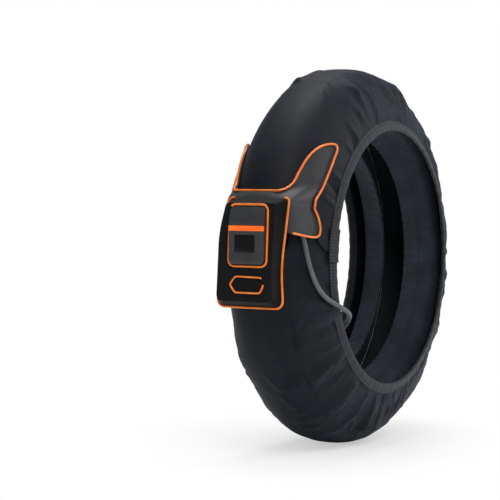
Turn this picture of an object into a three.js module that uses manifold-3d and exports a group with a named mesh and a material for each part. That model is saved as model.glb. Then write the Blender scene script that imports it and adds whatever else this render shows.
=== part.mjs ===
// Motorcycle tire warmer for a 17 inch rear wheel, in millimetres with +Z up.
// The origin is the centre of the wheel, the axle runs along Y and the pocket faces -X.
// Angles run round the wheel from the pocket, upwards first. The near side is -Y.
import * as THREE from 'three';
import { mergeVertices } from 'three/addons/utils/BufferGeometryUtils.js';
import Module from 'manifold-3d';

const wasm = await Module();
wasm.setup();

// Overall form of the cover on a tyre
const crownRadius = 326;
const crownPower = 2.7;
const shoulderRadius = 257.4;
const shoulderReach = 82.9;
const hemRadius = 218.5;
const hemReach = 97.2;

// Layers, from the outside inwards
const clearance = 0.3;
const coverThickness = 1.6;
const waddingThickness = 6;
const waddingEdge = 4;
const wireDiameter = 2.4;
const liningThickness = 1.5;
const skirtThickness = 1.2;
const heatedReach = 64;

// Closure at the front, as angles round the wheel
const upperEnd = 5;
const lowerEnd = 363;
const heatedStart = 27;
const heatedEnd = 351;
const tongueStart = -8;
const tongueEnd = 20;
const tapeEnd = 16;
const tapeThickness = 1.3;

// Steps round the wheel: the inner layers take every second angle of the cover
const angleStep = 6;
const gatherStep = 4.5;

// Hem binding, measured along the side flap from the shoulder
const bindingWidth = 17;
const bindingThickness = 1.2;
const bindingInnerGap = 0.9;
const coverEdge = 33.4;
const elasticWidth = 4.4;
const elasticThickness = 1.1;

// Inner skirt and gathered rim band
const seamReach = 45;
const seamRadius = 222;
const gatherReach = 21;
const gatherRadius = 210;
const gatherDepth = 3;
const bandElasticWidth = 6;
const bandElasticThickness = 1.2;

// Winged panel
const panelThickness = 1.5;
const panelReach = 84;
const panelLift = 1;
const pipingRadius = 2.1;

// Pocket: a flat pouch whose back leans away from upright, touching the tread near the axle's height
const pocketBack = 328.6;
const pocketLean = 3.5;
const pocketDepth = 23;
const pocketWall = 2;
const pocketBottom = -66;
const pocketTop = 108;
const pocketFar = -58;
const pocketNear = 60;
const pocketInset = 9;
const pocketTopInset = 10;
const pocketBackThickness = 1.2;
const pocketBackTop = 42;
const pocketCorner = 14;
const pocketTopCorner = 6;

// Controller
const controllerMiddle = 7;
const controllerWidth = 63;
const controllerBottom = 1.5;
const controllerHeight = 92;
const controllerBack = 1.4;
const controllerSplit = 11.4;
const controllerFlange = 2.2;
const controllerWall = 2;
const barBottom = 54;
const barTop = 63;
const displayBottom = 21;
const displayTop = 48;
const displayFar = -14;
const displayNear = 22;

// Colours
const navy = 0x1d2229;
const charcoal = 0x24272c;
const orange = 0xff7a1a;
const leatherette = 0x3a3c40;
const softshell = 0x16181b;
const patchBlack = 0x0b0c0e;
const elasticWhite = 0xd8d6cf;
const waddingWhite = 0xe9e6dc;
const wireRed = 0xb5452c;
const hookBlack = 0x15171a;
const loopBlack = 0x1a1d21;
const sheathGrey = 0x6c6e70;
const leadBlack = 0x202224;
const rubberBlack = 0x1b1c1e;
const caseGrey = 0x3f4145;
const caseBackGrey = 0x2b2d30;
const displayBlack = 0x08090b;
const moduleGreen = 0x1b2a24;
const boardGreen = 0x1f5a36;
const sensorCream = 0xc9c4b5;
const steel = 0x9a9da1;
const nickel = 0xb9bcc0;

const group = new THREE.Group();
const pocketFrame = new THREE.Group();
pocketFrame.position.set(-pocketBack, 0, 0);
pocketFrame.rotation.y = THREE.MathUtils.degToRad(pocketLean);
group.add(pocketFrame);
let parent = group;

function addMesh(name, geometry, color, roughness = 0.85, metalness = 0) {
  geometry.computeVertexNormals();
  const mesh = new THREE.Mesh(geometry, new THREE.MeshStandardMaterial({ color, roughness, metalness }));
  mesh.name = name;
  parent.add(mesh);
  return mesh;
}

// Section of the cover: radius at a distance across from the middle of the tread
function coverRadius(across) {
  const reach = Math.abs(across);
  if (reach <= shoulderReach) {
    return crownRadius - (crownRadius - shoulderRadius) * (reach / shoulderReach) ** crownPower;
  }
  const along = (reach - shoulderReach) / (hemReach - shoulderReach);
  return shoulderRadius + along * (hemRadius - shoulderRadius);
}

// Unit normal of that section, as [across, outward]
function coverNormal(across) {
  const step = 0.01;
  const slope = (coverRadius(across + step) - coverRadius(across - step)) / (2 * step);
  const length = Math.hypot(slope, 1);
  return [-slope / length, 1 / length];
}

function wheelPoint(angle, across, radius) {
  const turn = THREE.MathUtils.degToRad(angle);
  return new THREE.Vector3(-radius * Math.cos(turn), -across, radius * Math.sin(turn));
}

// Point above (or with a negative lift below) the cover's outer face
function coverPoint(angle, across, lift = 0) {
  const [sideways, outward] = coverNormal(across);
  return wheelPoint(angle, across + sideways * lift, coverRadius(across) + outward * lift);
}

// The same point given by its height instead of its angle
function coverPointAtHeight(height, across, lift = 0) {
  const angle = THREE.MathUtils.radToDeg(Math.asin(height / coverRadius(across)));
  return coverPoint(angle, across, lift);
}

function steps(from, to, step) {
  const count = Math.max(1, Math.round((to - from) / step));
  return Array.from({ length: count + 1 }, (_, i) => from + ((to - from) * i) / count);
}

function mirrored(stations) {
  return [...stations.filter((value) => value > 0).map((value) => -value).reverse(), ...stations];
}

const fineAngles = [
  ...steps(upperEnd, heatedStart, angleStep), ...steps(heatedStart, heatedEnd, angleStep).slice(1),
  ...steps(heatedEnd, lowerEnd, angleStep).slice(1),
];
const coarseAngles = fineAngles.filter((_, i) => i % 2 === 0);
const heatedAngles = coarseAngles.filter((angle) => angle >= heatedStart && angle <= heatedEnd);
const heatedStations = mirrored([16, 46, heatedReach]);

// How far the middle of a coarse side lies inside its circle
const coarseSag = (radius) => radius * (1 - Math.cos(THREE.MathUtils.degToRad(angleStep)));

function signedVolume(positions, faces) {
  const [a, b, c] = [new THREE.Vector3(), new THREE.Vector3(), new THREE.Vector3()];
  let volume = 0;
  for (let i = 0; i < faces.length; i += 3) {
    a.copy(positions[faces[i]]);
    b.copy(positions[faces[i + 1]]);
    c.copy(positions[faces[i + 2]]);
    volume += a.dot(b.cross(c)) / 6;
  }
  return volume;
}

function closedGeometry(positions, faces) {
  const turned = signedVolume(positions, faces) < 0;
  const geometry = new THREE.BufferGeometry();
  geometry.setAttribute('position', new THREE.Float32BufferAttribute(positions.flatMap((p) => p.toArray()), 3));
  geometry.setIndex(turned ? faces.slice().reverse() : faces);
  return geometry;
}

// Closed solid between two grids of points that share their four corners but may differ in fineness
function clothSolid(front, back) {
  const positions = [...front.flat(), ...back.flat()];
  const faces = [];
  const frontAt = (i, j) => i * front[0].length + j;
  const backAt = (i, j) => front.length * front[0].length + i * back[0].length + j;
  const cover = (grid, at, turned) => {
    for (let i = 0; i < grid.length - 1; i++) {
      for (let j = 0; j < grid[0].length - 1; j++) {
        const corners = [at(i, j), at(i + 1, j), at(i + 1, j + 1), at(i, j + 1)];
        if (turned) corners.reverse();
        faces.push(corners[0], corners[1], corners[2], corners[0], corners[2], corners[3]);
      }
    }
  };
  const edges = (grid, at) => {
    const rows = [...grid.keys()];
    const columns = [...grid[0].keys()];
    const lastRow = rows.length - 1;
    const lastColumn = columns.length - 1;
    return [
      columns.map((j) => at(0, j)),
      rows.map((i) => at(i, lastColumn)),
      columns.map((j) => at(lastRow, j)).reverse(),
      rows.map((i) => at(i, 0)).reverse(),
    ];
  };
  cover(front, frontAt, false);
  cover(back, backAt, true);
  const frontEdges = edges(front, frontAt);
  const backEdges = edges(back, backAt);
  frontEdges.forEach((edge, side) => stitch(faces, edge, backEdges[side]));
  return closedGeometry(positions, faces);
}

// Strip of triangles between two lines of vertices that may differ in number
function stitch(faces, first, second) {
  let a = 0;
  let b = 0;
  while (a < first.length - 1 || b < second.length - 1) {
    const nextA = (a + 1) / (first.length - 1);
    const nextB = (b + 1) / (second.length - 1);
    if (b === second.length - 1 || (a < first.length - 1 && nextA <= nextB)) {
      faces.push(first[a], first[a + 1], second[b]);
      a += 1;
    } else {
      faces.push(second[b + 1], second[b], first[a]);
      b += 1;
    }
  }
}

// Cloth that follows the cover between two depths under its outer face
function coverLayer(angles, stations, topLift, bottomLift) {
  const grid = (lift) => angles.map((angle) => stations.map((across) => coverPoint(angle, across, lift(across, angle))));
  return clothSolid(grid(topLift), grid(bottomLift));
}

// Closed section of [across, radius] points carried round the wheel, with flat ends
function ringSweep(section, angles) {
  const count = section.length;
  const positions = angles.flatMap((angle) => section.map(([across, radius]) => wheelPoint(angle, across, radius)));
  const faces = [];
  for (let i = 0; i < angles.length - 1; i++) {
    for (let k = 0; k < count; k++) {
      const a = i * count + k;
      const b = i * count + ((k + 1) % count);
      faces.push(a, b, b + count, a, b + count, a + count);
    }
  }
  const contour = section.map(([across, radius]) => new THREE.Vector2(across, radius));
  const last = (angles.length - 1) * count;
  const turned = THREE.ShapeUtils.isClockWise(contour);
  for (const [a, b, c] of THREE.ShapeUtils.triangulateShape(contour, [])) {
    if (turned) faces.push(a, b, c, last + a, last + c, last + b);
    else faces.push(a, c, b, last + a, last + b, last + c);
  }
  return closedGeometry(positions, faces);
}

// Path through given points whose sections stand on the points themselves
class PointPath extends THREE.Curve {
  constructor(points) {
    super();
    this.points = points;
  }
  getPoint(t) {
    const place = Math.min(Math.max(t, 0), 1) * (this.points.length - 1);
    const index = Math.min(Math.floor(place), this.points.length - 2);
    return this.points[index].clone().lerp(this.points[index + 1], place - index);
  }
  getPointAt(t) {
    return this.getPoint(t);
  }
  getTangentAt(t) {
    return this.getTangent(t);
  }
}

function circleShape(radius, sides) {
  const corners = Array.from({ length: sides }, (_, i) => {
    const turn = (2 * Math.PI * i) / sides;
    return new THREE.Vector2(radius * Math.cos(turn), radius * Math.sin(turn));
  });
  return new THREE.Shape(corners);
}

function tube(points, radius, sides = 8) {
  return new THREE.ExtrudeGeometry(circleShape(radius, sides), {
    steps: points.length - 1,
    extrudePath: new PointPath(points),
    bevelEnabled: false,
  });
}

// Points spaced along a smooth curve through the given ones
function smooth(points, count) {
  return new THREE.CatmullRomCurve3(points, false, 'centripetal').getSpacedPoints(count);
}

// Outlines are drawn as seen from the front: across the wheel and up
function roundedShape(corners, radius, divisions = 3) {
  const count = corners.length;
  const points = [];
  corners.forEach(([x, y, own], i) => {
    const corner = new THREE.Vector2(x, y);
    const before = new THREE.Vector2(...corners[(i + count - 1) % count].slice(0, 2));
    const after = new THREE.Vector2(...corners[(i + 1) % count].slice(0, 2));
    const size = own ?? radius;
    if (size === 0) {
      points.push(corner);
      return;
    }
    const start = corner.clone().add(before.sub(corner).setLength(size));
    const end = corner.clone().add(after.sub(corner).setLength(size));
    points.push(...new THREE.QuadraticBezierCurve(start, corner, end).getPoints(divisions));
  });
  return points;
}

// Prism of such an outline between two distances in front of the axle
function frontPrism(outline, innerReach, outerReach) {
  const shape = new THREE.Shape(outline.map((p) => new THREE.Vector2(p.x, p.y)));
  const geometry = new THREE.ExtrudeGeometry(shape, { depth: outerReach - innerReach, bevelEnabled: false });
  const across = new THREE.Vector3(0, -1, 0);
  const up = new THREE.Vector3(0, 0, 1);
  const forward = new THREE.Vector3(-1, 0, 0);
  const frame = new THREE.Matrix4().makeBasis(across, up, forward).setPosition(-innerReach, 0, 0);
  return geometry.applyMatrix4(frame);
}

function toSolid(geometry) {
  const bare = geometry.clone();
  bare.deleteAttribute('normal');
  bare.deleteAttribute('uv');
  const merged = mergeVertices(bare, 1e-4);
  return new wasm.Manifold(new wasm.Mesh({
    numProp: 3,
    vertProperties: Float32Array.from(merged.attributes.position.array),
    triVerts: Uint32Array.from(merged.index.array),
  }));
}

function toGeometry(solid) {
  const mesh = solid.getMesh();
  const geometry = new THREE.BufferGeometry();
  geometry.setAttribute('position', new THREE.Float32BufferAttribute(mesh.vertProperties, 3));
  geometry.setIndex(Array.from(mesh.triVerts));
  return geometry;
}

function cut(geometry, ...tools) {
  return toGeometry(tools.reduce((solid, tool) => solid.subtract(toSolid(tool)), toSolid(geometry)));
}

function keepInside(geometry, tool) {
  return toGeometry(toSolid(geometry).intersect(toSolid(tool)));
}

function joined(geometries) {
  return toGeometry(geometries.map(toSolid).reduce((whole, solid) => whole.add(solid)));
}

// Solid turned about an axis through a place, from [radius, height] points
function lathe(profile, sides, place, axis) {
  const geometry = new THREE.LatheGeometry(profile.map(([r, h]) => new THREE.Vector2(r, h)), sides);
  const rotation = new THREE.Quaternion().setFromUnitVectors(new THREE.Vector3(0, 1, 0), axis.clone().normalize());
  return geometry.applyQuaternion(rotation).translate(place.x, place.y, place.z);
}

// Folds of the slack cover: rounded ridges that run across the shoulders, none under the panel and the pocket
function foldLift(angle, across) {
  const reach = Math.abs(across);
  const side = across < 0 ? 1.7 : 0;
  const flat = 88;
  if (reach >= flat) return 0;
  const shoulder = Math.exp(-(((reach - 62) / 24) ** 2));
  const turn = THREE.MathUtils.degToRad(angle);
  const waves = 0.5 + 0.3 * Math.sin(11 * turn + side) + 0.2 * Math.sin(17 * turn + 2 * side + 1);
  const tread = 0.25 * (1 + Math.sin(7 * turn + across / 26));
  const front = THREE.MathUtils.smoothstep(angle, 58, 72) * (1 - THREE.MathUtils.smoothstep(angle, 334, 344));
  return front * (5 * shoulder * waves + 2.4 * tread * (1 - shoulder));
}

function buildCover() {
  const edgeReach = flapPoint(coverEdge, 0)[0];
  const outer = mirrored([0, 18, 34, 48, 60, 72, shoulderReach, 90, edgeReach]);
  const inner = mirrored([16, 46, heatedReach, shoulderReach, edgeReach]);
  const front = fineAngles.map((angle) => outer.map((across) => coverPoint(angle, across, foldLift(angle, across))));
  const back = coarseAngles.map((angle) => inner.map((across) => coverPoint(angle, across, -coverThickness)));
  const leadHole = tube(heaterLeadRoute().slice(3, 6), heaterLeadRadius + 0.5, 8);
  addMesh('outer_cover', cut(clothSolid(front, back), leadHole), navy);
}

// Place on the flat side flap at a distance from the shoulder, and depth under its outer face
function flapPoint(along, lift) {
  const length = Math.hypot(hemReach - shoulderReach, shoulderRadius - hemRadius);
  const tangent = [(hemReach - shoulderReach) / length, (hemRadius - shoulderRadius) / length];
  const normal = [-tangent[1], tangent[0]];
  return [
    shoulderReach + tangent[0] * along + normal[0] * lift,
    shoulderRadius + tangent[1] * along + normal[1] * lift,
  ];
}

function sided(section, side) {
  return section.map(([across, radius]) => [side * across, radius]);
}

const sides = [['near', 1], ['far', -1]];

function buildHems() {
  const end = Math.hypot(hemReach - shoulderReach, shoulderRadius - hemRadius);
  const start = end - bindingWidth;
  const top = clearance + bindingThickness;
  const bottom = -coverThickness - bindingInnerGap - bindingThickness;
  const fold = end - bindingThickness;
  const rounding = 0.7;
  const leaf = [
    flapPoint(start, top), flapPoint(end - rounding, top), flapPoint(end - rounding, bottom), flapPoint(start, bottom),
    flapPoint(start, bottom + bindingThickness), flapPoint(fold, bottom + bindingThickness),
    flapPoint(fold, clearance), flapPoint(start, clearance),
  ];
  const elasticEnd = fold - clearance - coarseSag(hemRadius);
  const elasticTop = 0;
  const elastic = [
    flapPoint(elasticEnd, elasticTop), flapPoint(elasticEnd, elasticTop - elasticThickness),
    flapPoint(elasticEnd - elasticWidth, elasticTop - elasticThickness), flapPoint(elasticEnd - elasticWidth, elasticTop),
  ];
  for (const [name, side] of sides) {
    addMesh(`${name}_hem_binding`, ringSweep(sided(leaf, side), fineAngles), charcoal, 0.8);
    addMesh(`${name}_hem_elastic`, ringSweep(sided(elastic, side), coarseAngles), elasticWhite, 0.8);
  }
}

// Lifts of the heated layers: each is given by its distance below the cover's outer face
function waddingBottom(across) {
  const share = Math.min(Math.abs(across) / heatedReach, 1);
  return -coverThickness - clearance - waddingThickness - (waddingEdge - waddingThickness) * share ** 2;
}

const wireSpace = wireDiameter + 2 * clearance;

function buildHeatedLayers() {
  const top = () => -coverThickness - clearance;
  const liningTop = (across) => waddingBottom(across) - wireSpace;
  const liningBottom = (across) => liningTop(across) - liningThickness;
  addMesh('insulation_wadding', coverLayer(heatedAngles, heatedStations, top, waddingBottom), waddingWhite, 0.95);
  addMesh('inner_lining', coverLayer(heatedAngles, heatedStations, liningTop, liningBottom), charcoal, 0.8);
}

// The wire runs to and fro across the tread and turns at its edges
function buildHeatingWire() {
  const across = heatedStations.slice(1, -1);
  const depth = (place) => waddingBottom(place) - wireSpace / 2;
  const points = heatedAngles.slice(1, -1).flatMap((angle, i) => {
    const row = i % 2 ? [...across].reverse() : across;
    return row.map((place) => coverPoint(angle, place, depth(place)));
  });
  addMesh('heating_wire', tube(points, wireDiameter / 2, 5), wireRed, 0.5);
}

// Skirt from the lining's edge down the tyre wall to the seam, then the gathered band on the rim
function skirtLine() {
  const edge = waddingBottom(heatedReach) - wireSpace - liningThickness / 2;
  const [sideways, outward] = coverNormal(heatedReach);
  const start = [heatedReach + sideways * edge, coverRadius(heatedReach) + outward * edge];
  const from = [start[0] + outward * 0.9, start[1] - sideways * 0.9];
  return [from, [68, 268], [74, 248], [66, 230.5], [seamReach, seamRadius]];
}

function offsetLine(line, distance) {
  return line.map((point, i) => {
    const before = line[Math.max(i - 1, 0)];
    const after = line[Math.min(i + 1, line.length - 1)];
    const length = Math.hypot(after[0] - before[0], after[1] - before[1]);
    return [
      point[0] - ((after[1] - before[1]) / length) * distance,
      point[1] + ((after[0] - before[0]) / length) * distance,
    ];
  });
}

function lineLayer(line, side, angles, thickness, wave) {
  const outer = offsetLine(line, thickness / 2);
  const inner = offsetLine(line, -thickness / 2);
  const grid = (edge) => angles.map((angle, i) => edge.map(([across, radius], j) => {
    const lift = wave ? wave(i, j / (line.length - 1)) : 0;
    return wheelPoint(angle, side * across, radius - lift);
  }));
  return clothSolid(grid(outer), grid(inner));
}

function buildSkirts() {
  const line = skirtLine();
  const direction = [gatherReach - seamReach, gatherRadius - seamRadius];
  const length = Math.hypot(...direction);
  const bandPoint = (along, lift = 0) => [
    seamReach + (direction[0] * along - direction[1] * lift) / length,
    seamRadius + (direction[1] * along + direction[0] * lift) / length,
  ];
  const band = [bandPoint(clearance * 2), bandPoint(length)];
  const ripple = (i, along) => (i % 2 ? gatherDepth * along : 0);
  const elasticLift = -skirtThickness / 2 - clearance - coarseSag(gatherRadius);
  const outerEdge = length - 2;
  const innerEdge = outerEdge - bandElasticWidth;
  const elastic = [
    bandPoint(outerEdge, elasticLift), bandPoint(innerEdge, elasticLift),
    bandPoint(innerEdge, elasticLift - bandElasticThickness), bandPoint(outerEdge, elasticLift - bandElasticThickness),
  ];
  const skirtEnd = lowerEnd - 2;
  const gathers = steps(upperEnd, skirtEnd, gatherStep);
  const skirtAngles = [...coarseAngles.slice(0, -1), skirtEnd];
  for (const [name, side] of sides) {
    addMesh(`${name}_inner_skirt`, lineLayer(line, side, skirtAngles, skirtThickness), charcoal, 0.8);
    addMesh(`${name}_rim_gather`, lineLayer(band, side, gathers, skirtThickness, ripple), charcoal, 0.8);
    addMesh(`${name}_gather_elastic`, ringSweep(sided(elastic, side), skirtAngles), elasticWhite, 0.8);
  }
}

// Tongue under both ends of the cover, with the hook tape above the loop tape
function buildClosure() {
  const hookTop = -coverThickness - clearance;
  const loopTop = hookTop - tapeThickness - clearance;
  const tongueTop = loopTop - tapeThickness - clearance;
  const tapeStations = heatedStations.slice(1, -1);
  const slab = (top, thickness) => coverLayer([upperEnd, tapeEnd], tapeStations, () => top, () => top - thickness);
  addMesh('hook_tape', slab(hookTop, tapeThickness), hookBlack, 0.95);
  addMesh('loop_tape', slab(loopTop, tapeThickness), loopBlack, 0.95);
  const angles = [tongueStart, lowerEnd - 360, upperEnd, tapeEnd, tongueEnd];
  const sewnGap = 0.5;
  const sewnTop = hookTop - sewnGap;
  const top = (across, angle) => (angle < upperEnd ? sewnTop : tongueTop);
  const bottom = (across, angle) => top(across, angle) - coverThickness;
  addMesh('closure_tongue', coverLayer(angles, heatedStations, top, bottom), navy);
}

// Panel: half outline from the middle of its upper edge to the pocket, seen from the front
const wingEdge = [
  [36, 117.5], [43.5, 120.5], [48.8, 131], [52.4, 149], [58.4, 175], [65.5, 187.5], [71.5, 191.5], [76.5, 191],
  [79.4, 184], [80, 170], [80, 153], [78.4, 125], [76.8, 104], [76.8, 90], [79.6, 72], [81.6, 55], [80.6, 46],
  [78, 44.2], [68, 51.5], [60, 55.5], [52, 57],
];

function wingCurve() {
  return new THREE.SplineCurve(wingEdge.map(([a, b]) => new THREE.Vector2(a, b)));
}

// Distance of the pocket's back plane in front of the axle
function pocketBackReach(height) {
  return pocketBack - height * Math.tan(THREE.MathUtils.degToRad(pocketLean));
}

// The panel leaves the cover where the flat pocket holds it away, and lies down again towards its outer edge
function panelPoint(height, across, lift) {
  const point = coverPointAtHeight(height, across, lift);
  const reach = Math.abs(across);
  const fadeAcross = 1 - THREE.MathUtils.smoothstep(reach, 62, 81);
  const fadeUp = 1 - THREE.MathUtils.smoothstep(height, pocketTop - 4, pocketTop + 52);
  const onCover = coverPointAtHeight(height, across, panelLift + panelThickness);
  const wanted = pocketBackReach(Math.min(height, pocketTop));
  point.x -= Math.max(0, wanted + onCover.x) * fadeAcross * fadeUp;
  return point;
}

function buildPanel() {
  const heights = [38, 50, 62, 76, 92, 108, 124, 142, 160, 178, 198];
  const across = mirrored([0, 30, 48, 58, 66, 73, panelReach]);
  const grid = (lift) => heights.map((height) => across.map((place) => panelPoint(height, place, lift)));
  const sheet = clothSolid(grid(panelLift + panelThickness), grid(panelLift));
  const half = wingCurve().getPoints(30);
  const outline = [...half, ...half.map((p) => new THREE.Vector2(-p.x, p.y)).reverse()];
  const leadHole = tube(smooth(controllerLeadRoute, 8).slice(2, 7), leadRadius + 0.6, 10);
  const heaterHole = tube(heaterLeadRoute().slice(0, 4), heaterLeadRadius + 0.5, 8);
  addMesh('wing_panel', cut(keepInside(sheet, frontPrism(outline, 100, 400)), leadHole, heaterHole), leatherette, 0.5);

  const lift = panelLift + panelThickness + pipingRadius + 1;
  const free = half.filter((p) => p.y > pocketTop || p.x > pocketNear + 6);
  const near = free.map((p) => panelPoint(p.y, p.x, lift));
  const far = free.map((p) => panelPoint(p.y, -p.x, lift));
  addMesh('panel_piping', tube([...near.reverse(), ...far], pipingRadius, 6), orange, 0.45);
}

// Outline of the pocket in its own plane
function pocketOutline(inset, topInset = inset) {
  return roundedShape([
    [pocketFar + inset, pocketBottom + inset, pocketCorner],
    [pocketNear - inset, pocketBottom + inset, pocketCorner],
    [pocketNear + 3 - inset, pocketTop - topInset, pocketTopCorner],
    [pocketFar + 4 + inset, pocketTop - topInset, pocketTopCorner],
  ], pocketCorner, 4);
}

function loft(lower, upper) {
  const positions = [...lower, ...upper];
  const count = lower.length;
  const faces = [];
  for (let k = 0; k < count; k++) {
    const next = (k + 1) % count;
    faces.push(k, next, next + count, k, next + count, k + count);
  }
  const contour = lower.map((p) => new THREE.Vector2(-p.y, p.z));
  const flipped = THREE.ShapeUtils.isClockWise(contour);
  for (const [a, b, c] of THREE.ShapeUtils.triangulateShape(contour, [])) {
    if (flipped) faces.push(a, b, c, count + a, count + c, count + b);
    else faces.push(a, c, b, count + a, count + b, count + c);
  }
  return closedGeometry(positions, faces);
}

// Block of the pocket with sloping sides, from its back plane forwards
function pocketBlock(inset, back, front) {
  const slope = (reach) => pocketInset * reach / pocketDepth;
  const topSlope = (reach) => pocketTopInset * reach / pocketDepth;
  const layer = (reach) => pocketOutline(inset + slope(reach), inset + topSlope(reach))
    .map((p) => new THREE.Vector3(-reach, -p.x, p.y));
  return loft(layer(back), layer(front));
}

const windowOutline = (grow) => roundedShape([
  [controllerMiddle - controllerWidth / 2 - grow, controllerBottom - grow],
  [controllerMiddle + controllerWidth / 2 + grow, controllerBottom - grow],
  [controllerMiddle + controllerWidth / 2 + grow, controllerBottom + controllerHeight + grow],
  [controllerMiddle - controllerWidth / 2 - grow, controllerBottom + controllerHeight + grow],
], 9 + grow, 3);

// Oval patch under the window, pointed towards the far side
const patchPipingRadius = 1.8;
const patchMargin = 3.2;
const patchThickness = 0.7;
const patchOutline = (grow) => roundedShape([
  [-24 - grow, -30.5], [-14 - grow * 0.6, -17.5 + grow], [33 + grow, -18.5 + grow], [37 + grow, -30.5],
  [31 + grow, -43 - grow], [-14 - grow * 0.6, -43 - grow],
], 4, 3);

function onPocketFront(p, lift) {
  return new THREE.Vector3(-(pocketDepth + lift), -p.x, p.y);
}

function buildPocket() {
  const block = pocketBlock(0, clearance, pocketDepth);
  const cavity = pocketBlock(pocketWall, -5, pocketDepth - pocketWall);
  const pouch = cut(block, cavity, frontPrism(windowOutline(0.6), 10, 40));
  addMesh('pocket_pouch', pouch, softshell, 0.9);

  const backOutline = roundedShape([
    [pocketFar + 1, pocketBottom + 1], [pocketNear - 1, pocketBottom + 1],
    [pocketNear - 1, pocketBackTop, 0], [pocketFar + 1, pocketBackTop, 0],
  ], pocketCorner, 4);
  addMesh('pocket_back', frontPrism(backOutline, -pocketBackThickness, 0), softshell, 0.9);

  const reach = pipingRadius + 2;
  const slope = (pocketInset * reach) / pocketDepth;
  const edge = pocketOutline(slope - pipingRadius - clearance).map((p) => new THREE.Vector3(-reach, -p.x, p.y));
  const cornerPoints = 5;
  const open = [...edge.slice(-cornerPoints), ...edge.slice(0, -cornerPoints)];
  addMesh('pocket_piping', tube(open.slice(1), pipingRadius, 6), orange, 0.45);
}

function buildPipings() {
  const lift = pipingRadius + clearance;
  const windowRoute = windowOutline(pipingRadius + 1).map((p) => onPocketFront(p, lift));
  addMesh('window_piping', tube(windowRoute, pipingRadius, 6), orange, 0.45);
  const patchRoute = patchOutline(0).map((p) => onPocketFront(p, lift));
  addMesh('patch_piping', tube(patchRoute, patchPipingRadius, 6), orange, 0.45);
  const patchFront = pocketDepth + clearance + patchThickness;
  addMesh('patch', frontPrism(patchOutline(-patchMargin), pocketDepth + clearance, patchFront), patchBlack, 0.8);
}

// Controller: a moulded box in two shells
function controllerOutline(grow) {
  return roundedShape([
    [controllerMiddle - controllerWidth / 2 - grow, controllerBottom - grow],
    [controllerMiddle + controllerWidth / 2 + grow, controllerBottom - grow],
    [controllerMiddle + controllerWidth / 2 + grow, controllerBottom + controllerHeight + grow],
    [controllerMiddle - controllerWidth / 2 - grow, controllerBottom + controllerHeight + grow],
  ], 8 + grow, 3);
}

// Side view of the front shell's face, as [height, reach]
const faceLine = [
  [controllerBottom - 5, 28], [controllerBottom + 4, 30.5], [barBottom - 4, 32], [barBottom, 33.5], [barTop, 33.5],
  [barTop + 10, 32.5], [controllerBottom + controllerHeight - 8, 30], [controllerBottom + controllerHeight + 5, 25],
];
const faceTop = 33.5;
const openingBack = 20;
const openingFront = 50;
const slotBack = 29.3;
const barFront = faceTop + 0.3;
const windowBack = 27;
const windowFront = 31.2;
const boardBack = 18;
const boardThickness = 1.7;
const moduleBack = 20;
const boardMargin = 5;

function faceBlock(lift, grow) {
  const width = controllerWidth + 20 + grow;
  const shape = new THREE.Shape([
    new THREE.Vector2(faceLine[0][0], -20),
    ...faceLine.map(([height, reach]) => new THREE.Vector2(height, reach + lift)),
    new THREE.Vector2(faceLine[faceLine.length - 1][0], -20),
  ]);
  const geometry = new THREE.ExtrudeGeometry(shape, { depth: width, bevelEnabled: false });
  const basis = new THREE.Matrix4().makeBasis(
    new THREE.Vector3(0, 0, 1), new THREE.Vector3(-1, 0, 0), new THREE.Vector3(0, -1, 0),
  );
  basis.setPosition(0, -controllerMiddle + width / 2, 0);
  return geometry.applyMatrix4(basis);
}

function rectangle(far, near, bottom, top, radius = 0) {
  return roundedShape([[far, bottom], [near, bottom], [near, top], [far, top]], radius, 2);
}

function buildController() {
  const outline = controllerOutline(-clearance);
  const inner = controllerOutline(-clearance - controllerWall);
  const flange = controllerOutline(controllerFlange);
  const back = cut(
    frontPrism(flange, controllerBack, controllerSplit),
    frontPrism(inner, controllerBack + controllerWall, controllerSplit + 10),
  );
  addMesh('controller_back_shell', back, caseBackGrey, 0.6);

  const body = joined([
    frontPrism(flange, controllerSplit + clearance, pocketDepth - pocketWall - clearance),
    frontPrism(outline, controllerSplit + clearance, faceTop + 1),
  ]);
  const shaped = keepInside(body, faceBlock(0, 0));
  const hollow = keepInside(frontPrism(inner, 0, faceTop), faceBlock(-controllerWall, 0));
  const slotOutline = rectangle(controllerMiddle - controllerWidth, controllerMiddle + controllerWidth, barBottom, barTop);
  const slot = frontPrism(slotOutline, slotBack, openingFront);
  const openingOutline = rectangle(
    displayFar - clearance, displayNear + clearance, displayBottom - clearance, displayTop + clearance, 1.5,
  );
  const opening = frontPrism(openingOutline, openingBack, openingFront);
  addMesh('controller_front_shell', cut(shaped, hollow, slot, opening), caseGrey, 0.55);

  const half = controllerWidth / 2 - clearance;
  const barOutline = rectangle(controllerMiddle - half, controllerMiddle + half, barBottom + clearance, barTop - clearance);
  addMesh('status_bar', frontPrism(barOutline, slotBack + clearance, barFront), orange, 0.4);
  const pane = rectangle(displayFar, displayNear, displayBottom, displayTop, 1.5);
  addMesh('display_window', frontPrism(pane, windowBack, windowFront), displayBlack, 0.12);
  const module = rectangle(displayFar + 1, displayNear - 1, displayBottom + 1, displayTop - 1);
  addMesh('display_module', frontPrism(module, moduleBack, windowBack - clearance), moduleGreen, 0.4);
  const boardHalf = controllerWidth / 2 - boardMargin;
  const boardOutline = rectangle(
    controllerMiddle - boardHalf, controllerMiddle + boardHalf,
    controllerBottom + boardMargin, controllerBottom + controllerHeight - boardMargin,
  );
  addMesh('circuit_board', frontPrism(boardOutline, boardBack, boardBack + boardThickness), boardGreen, 0.6);
}

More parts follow.
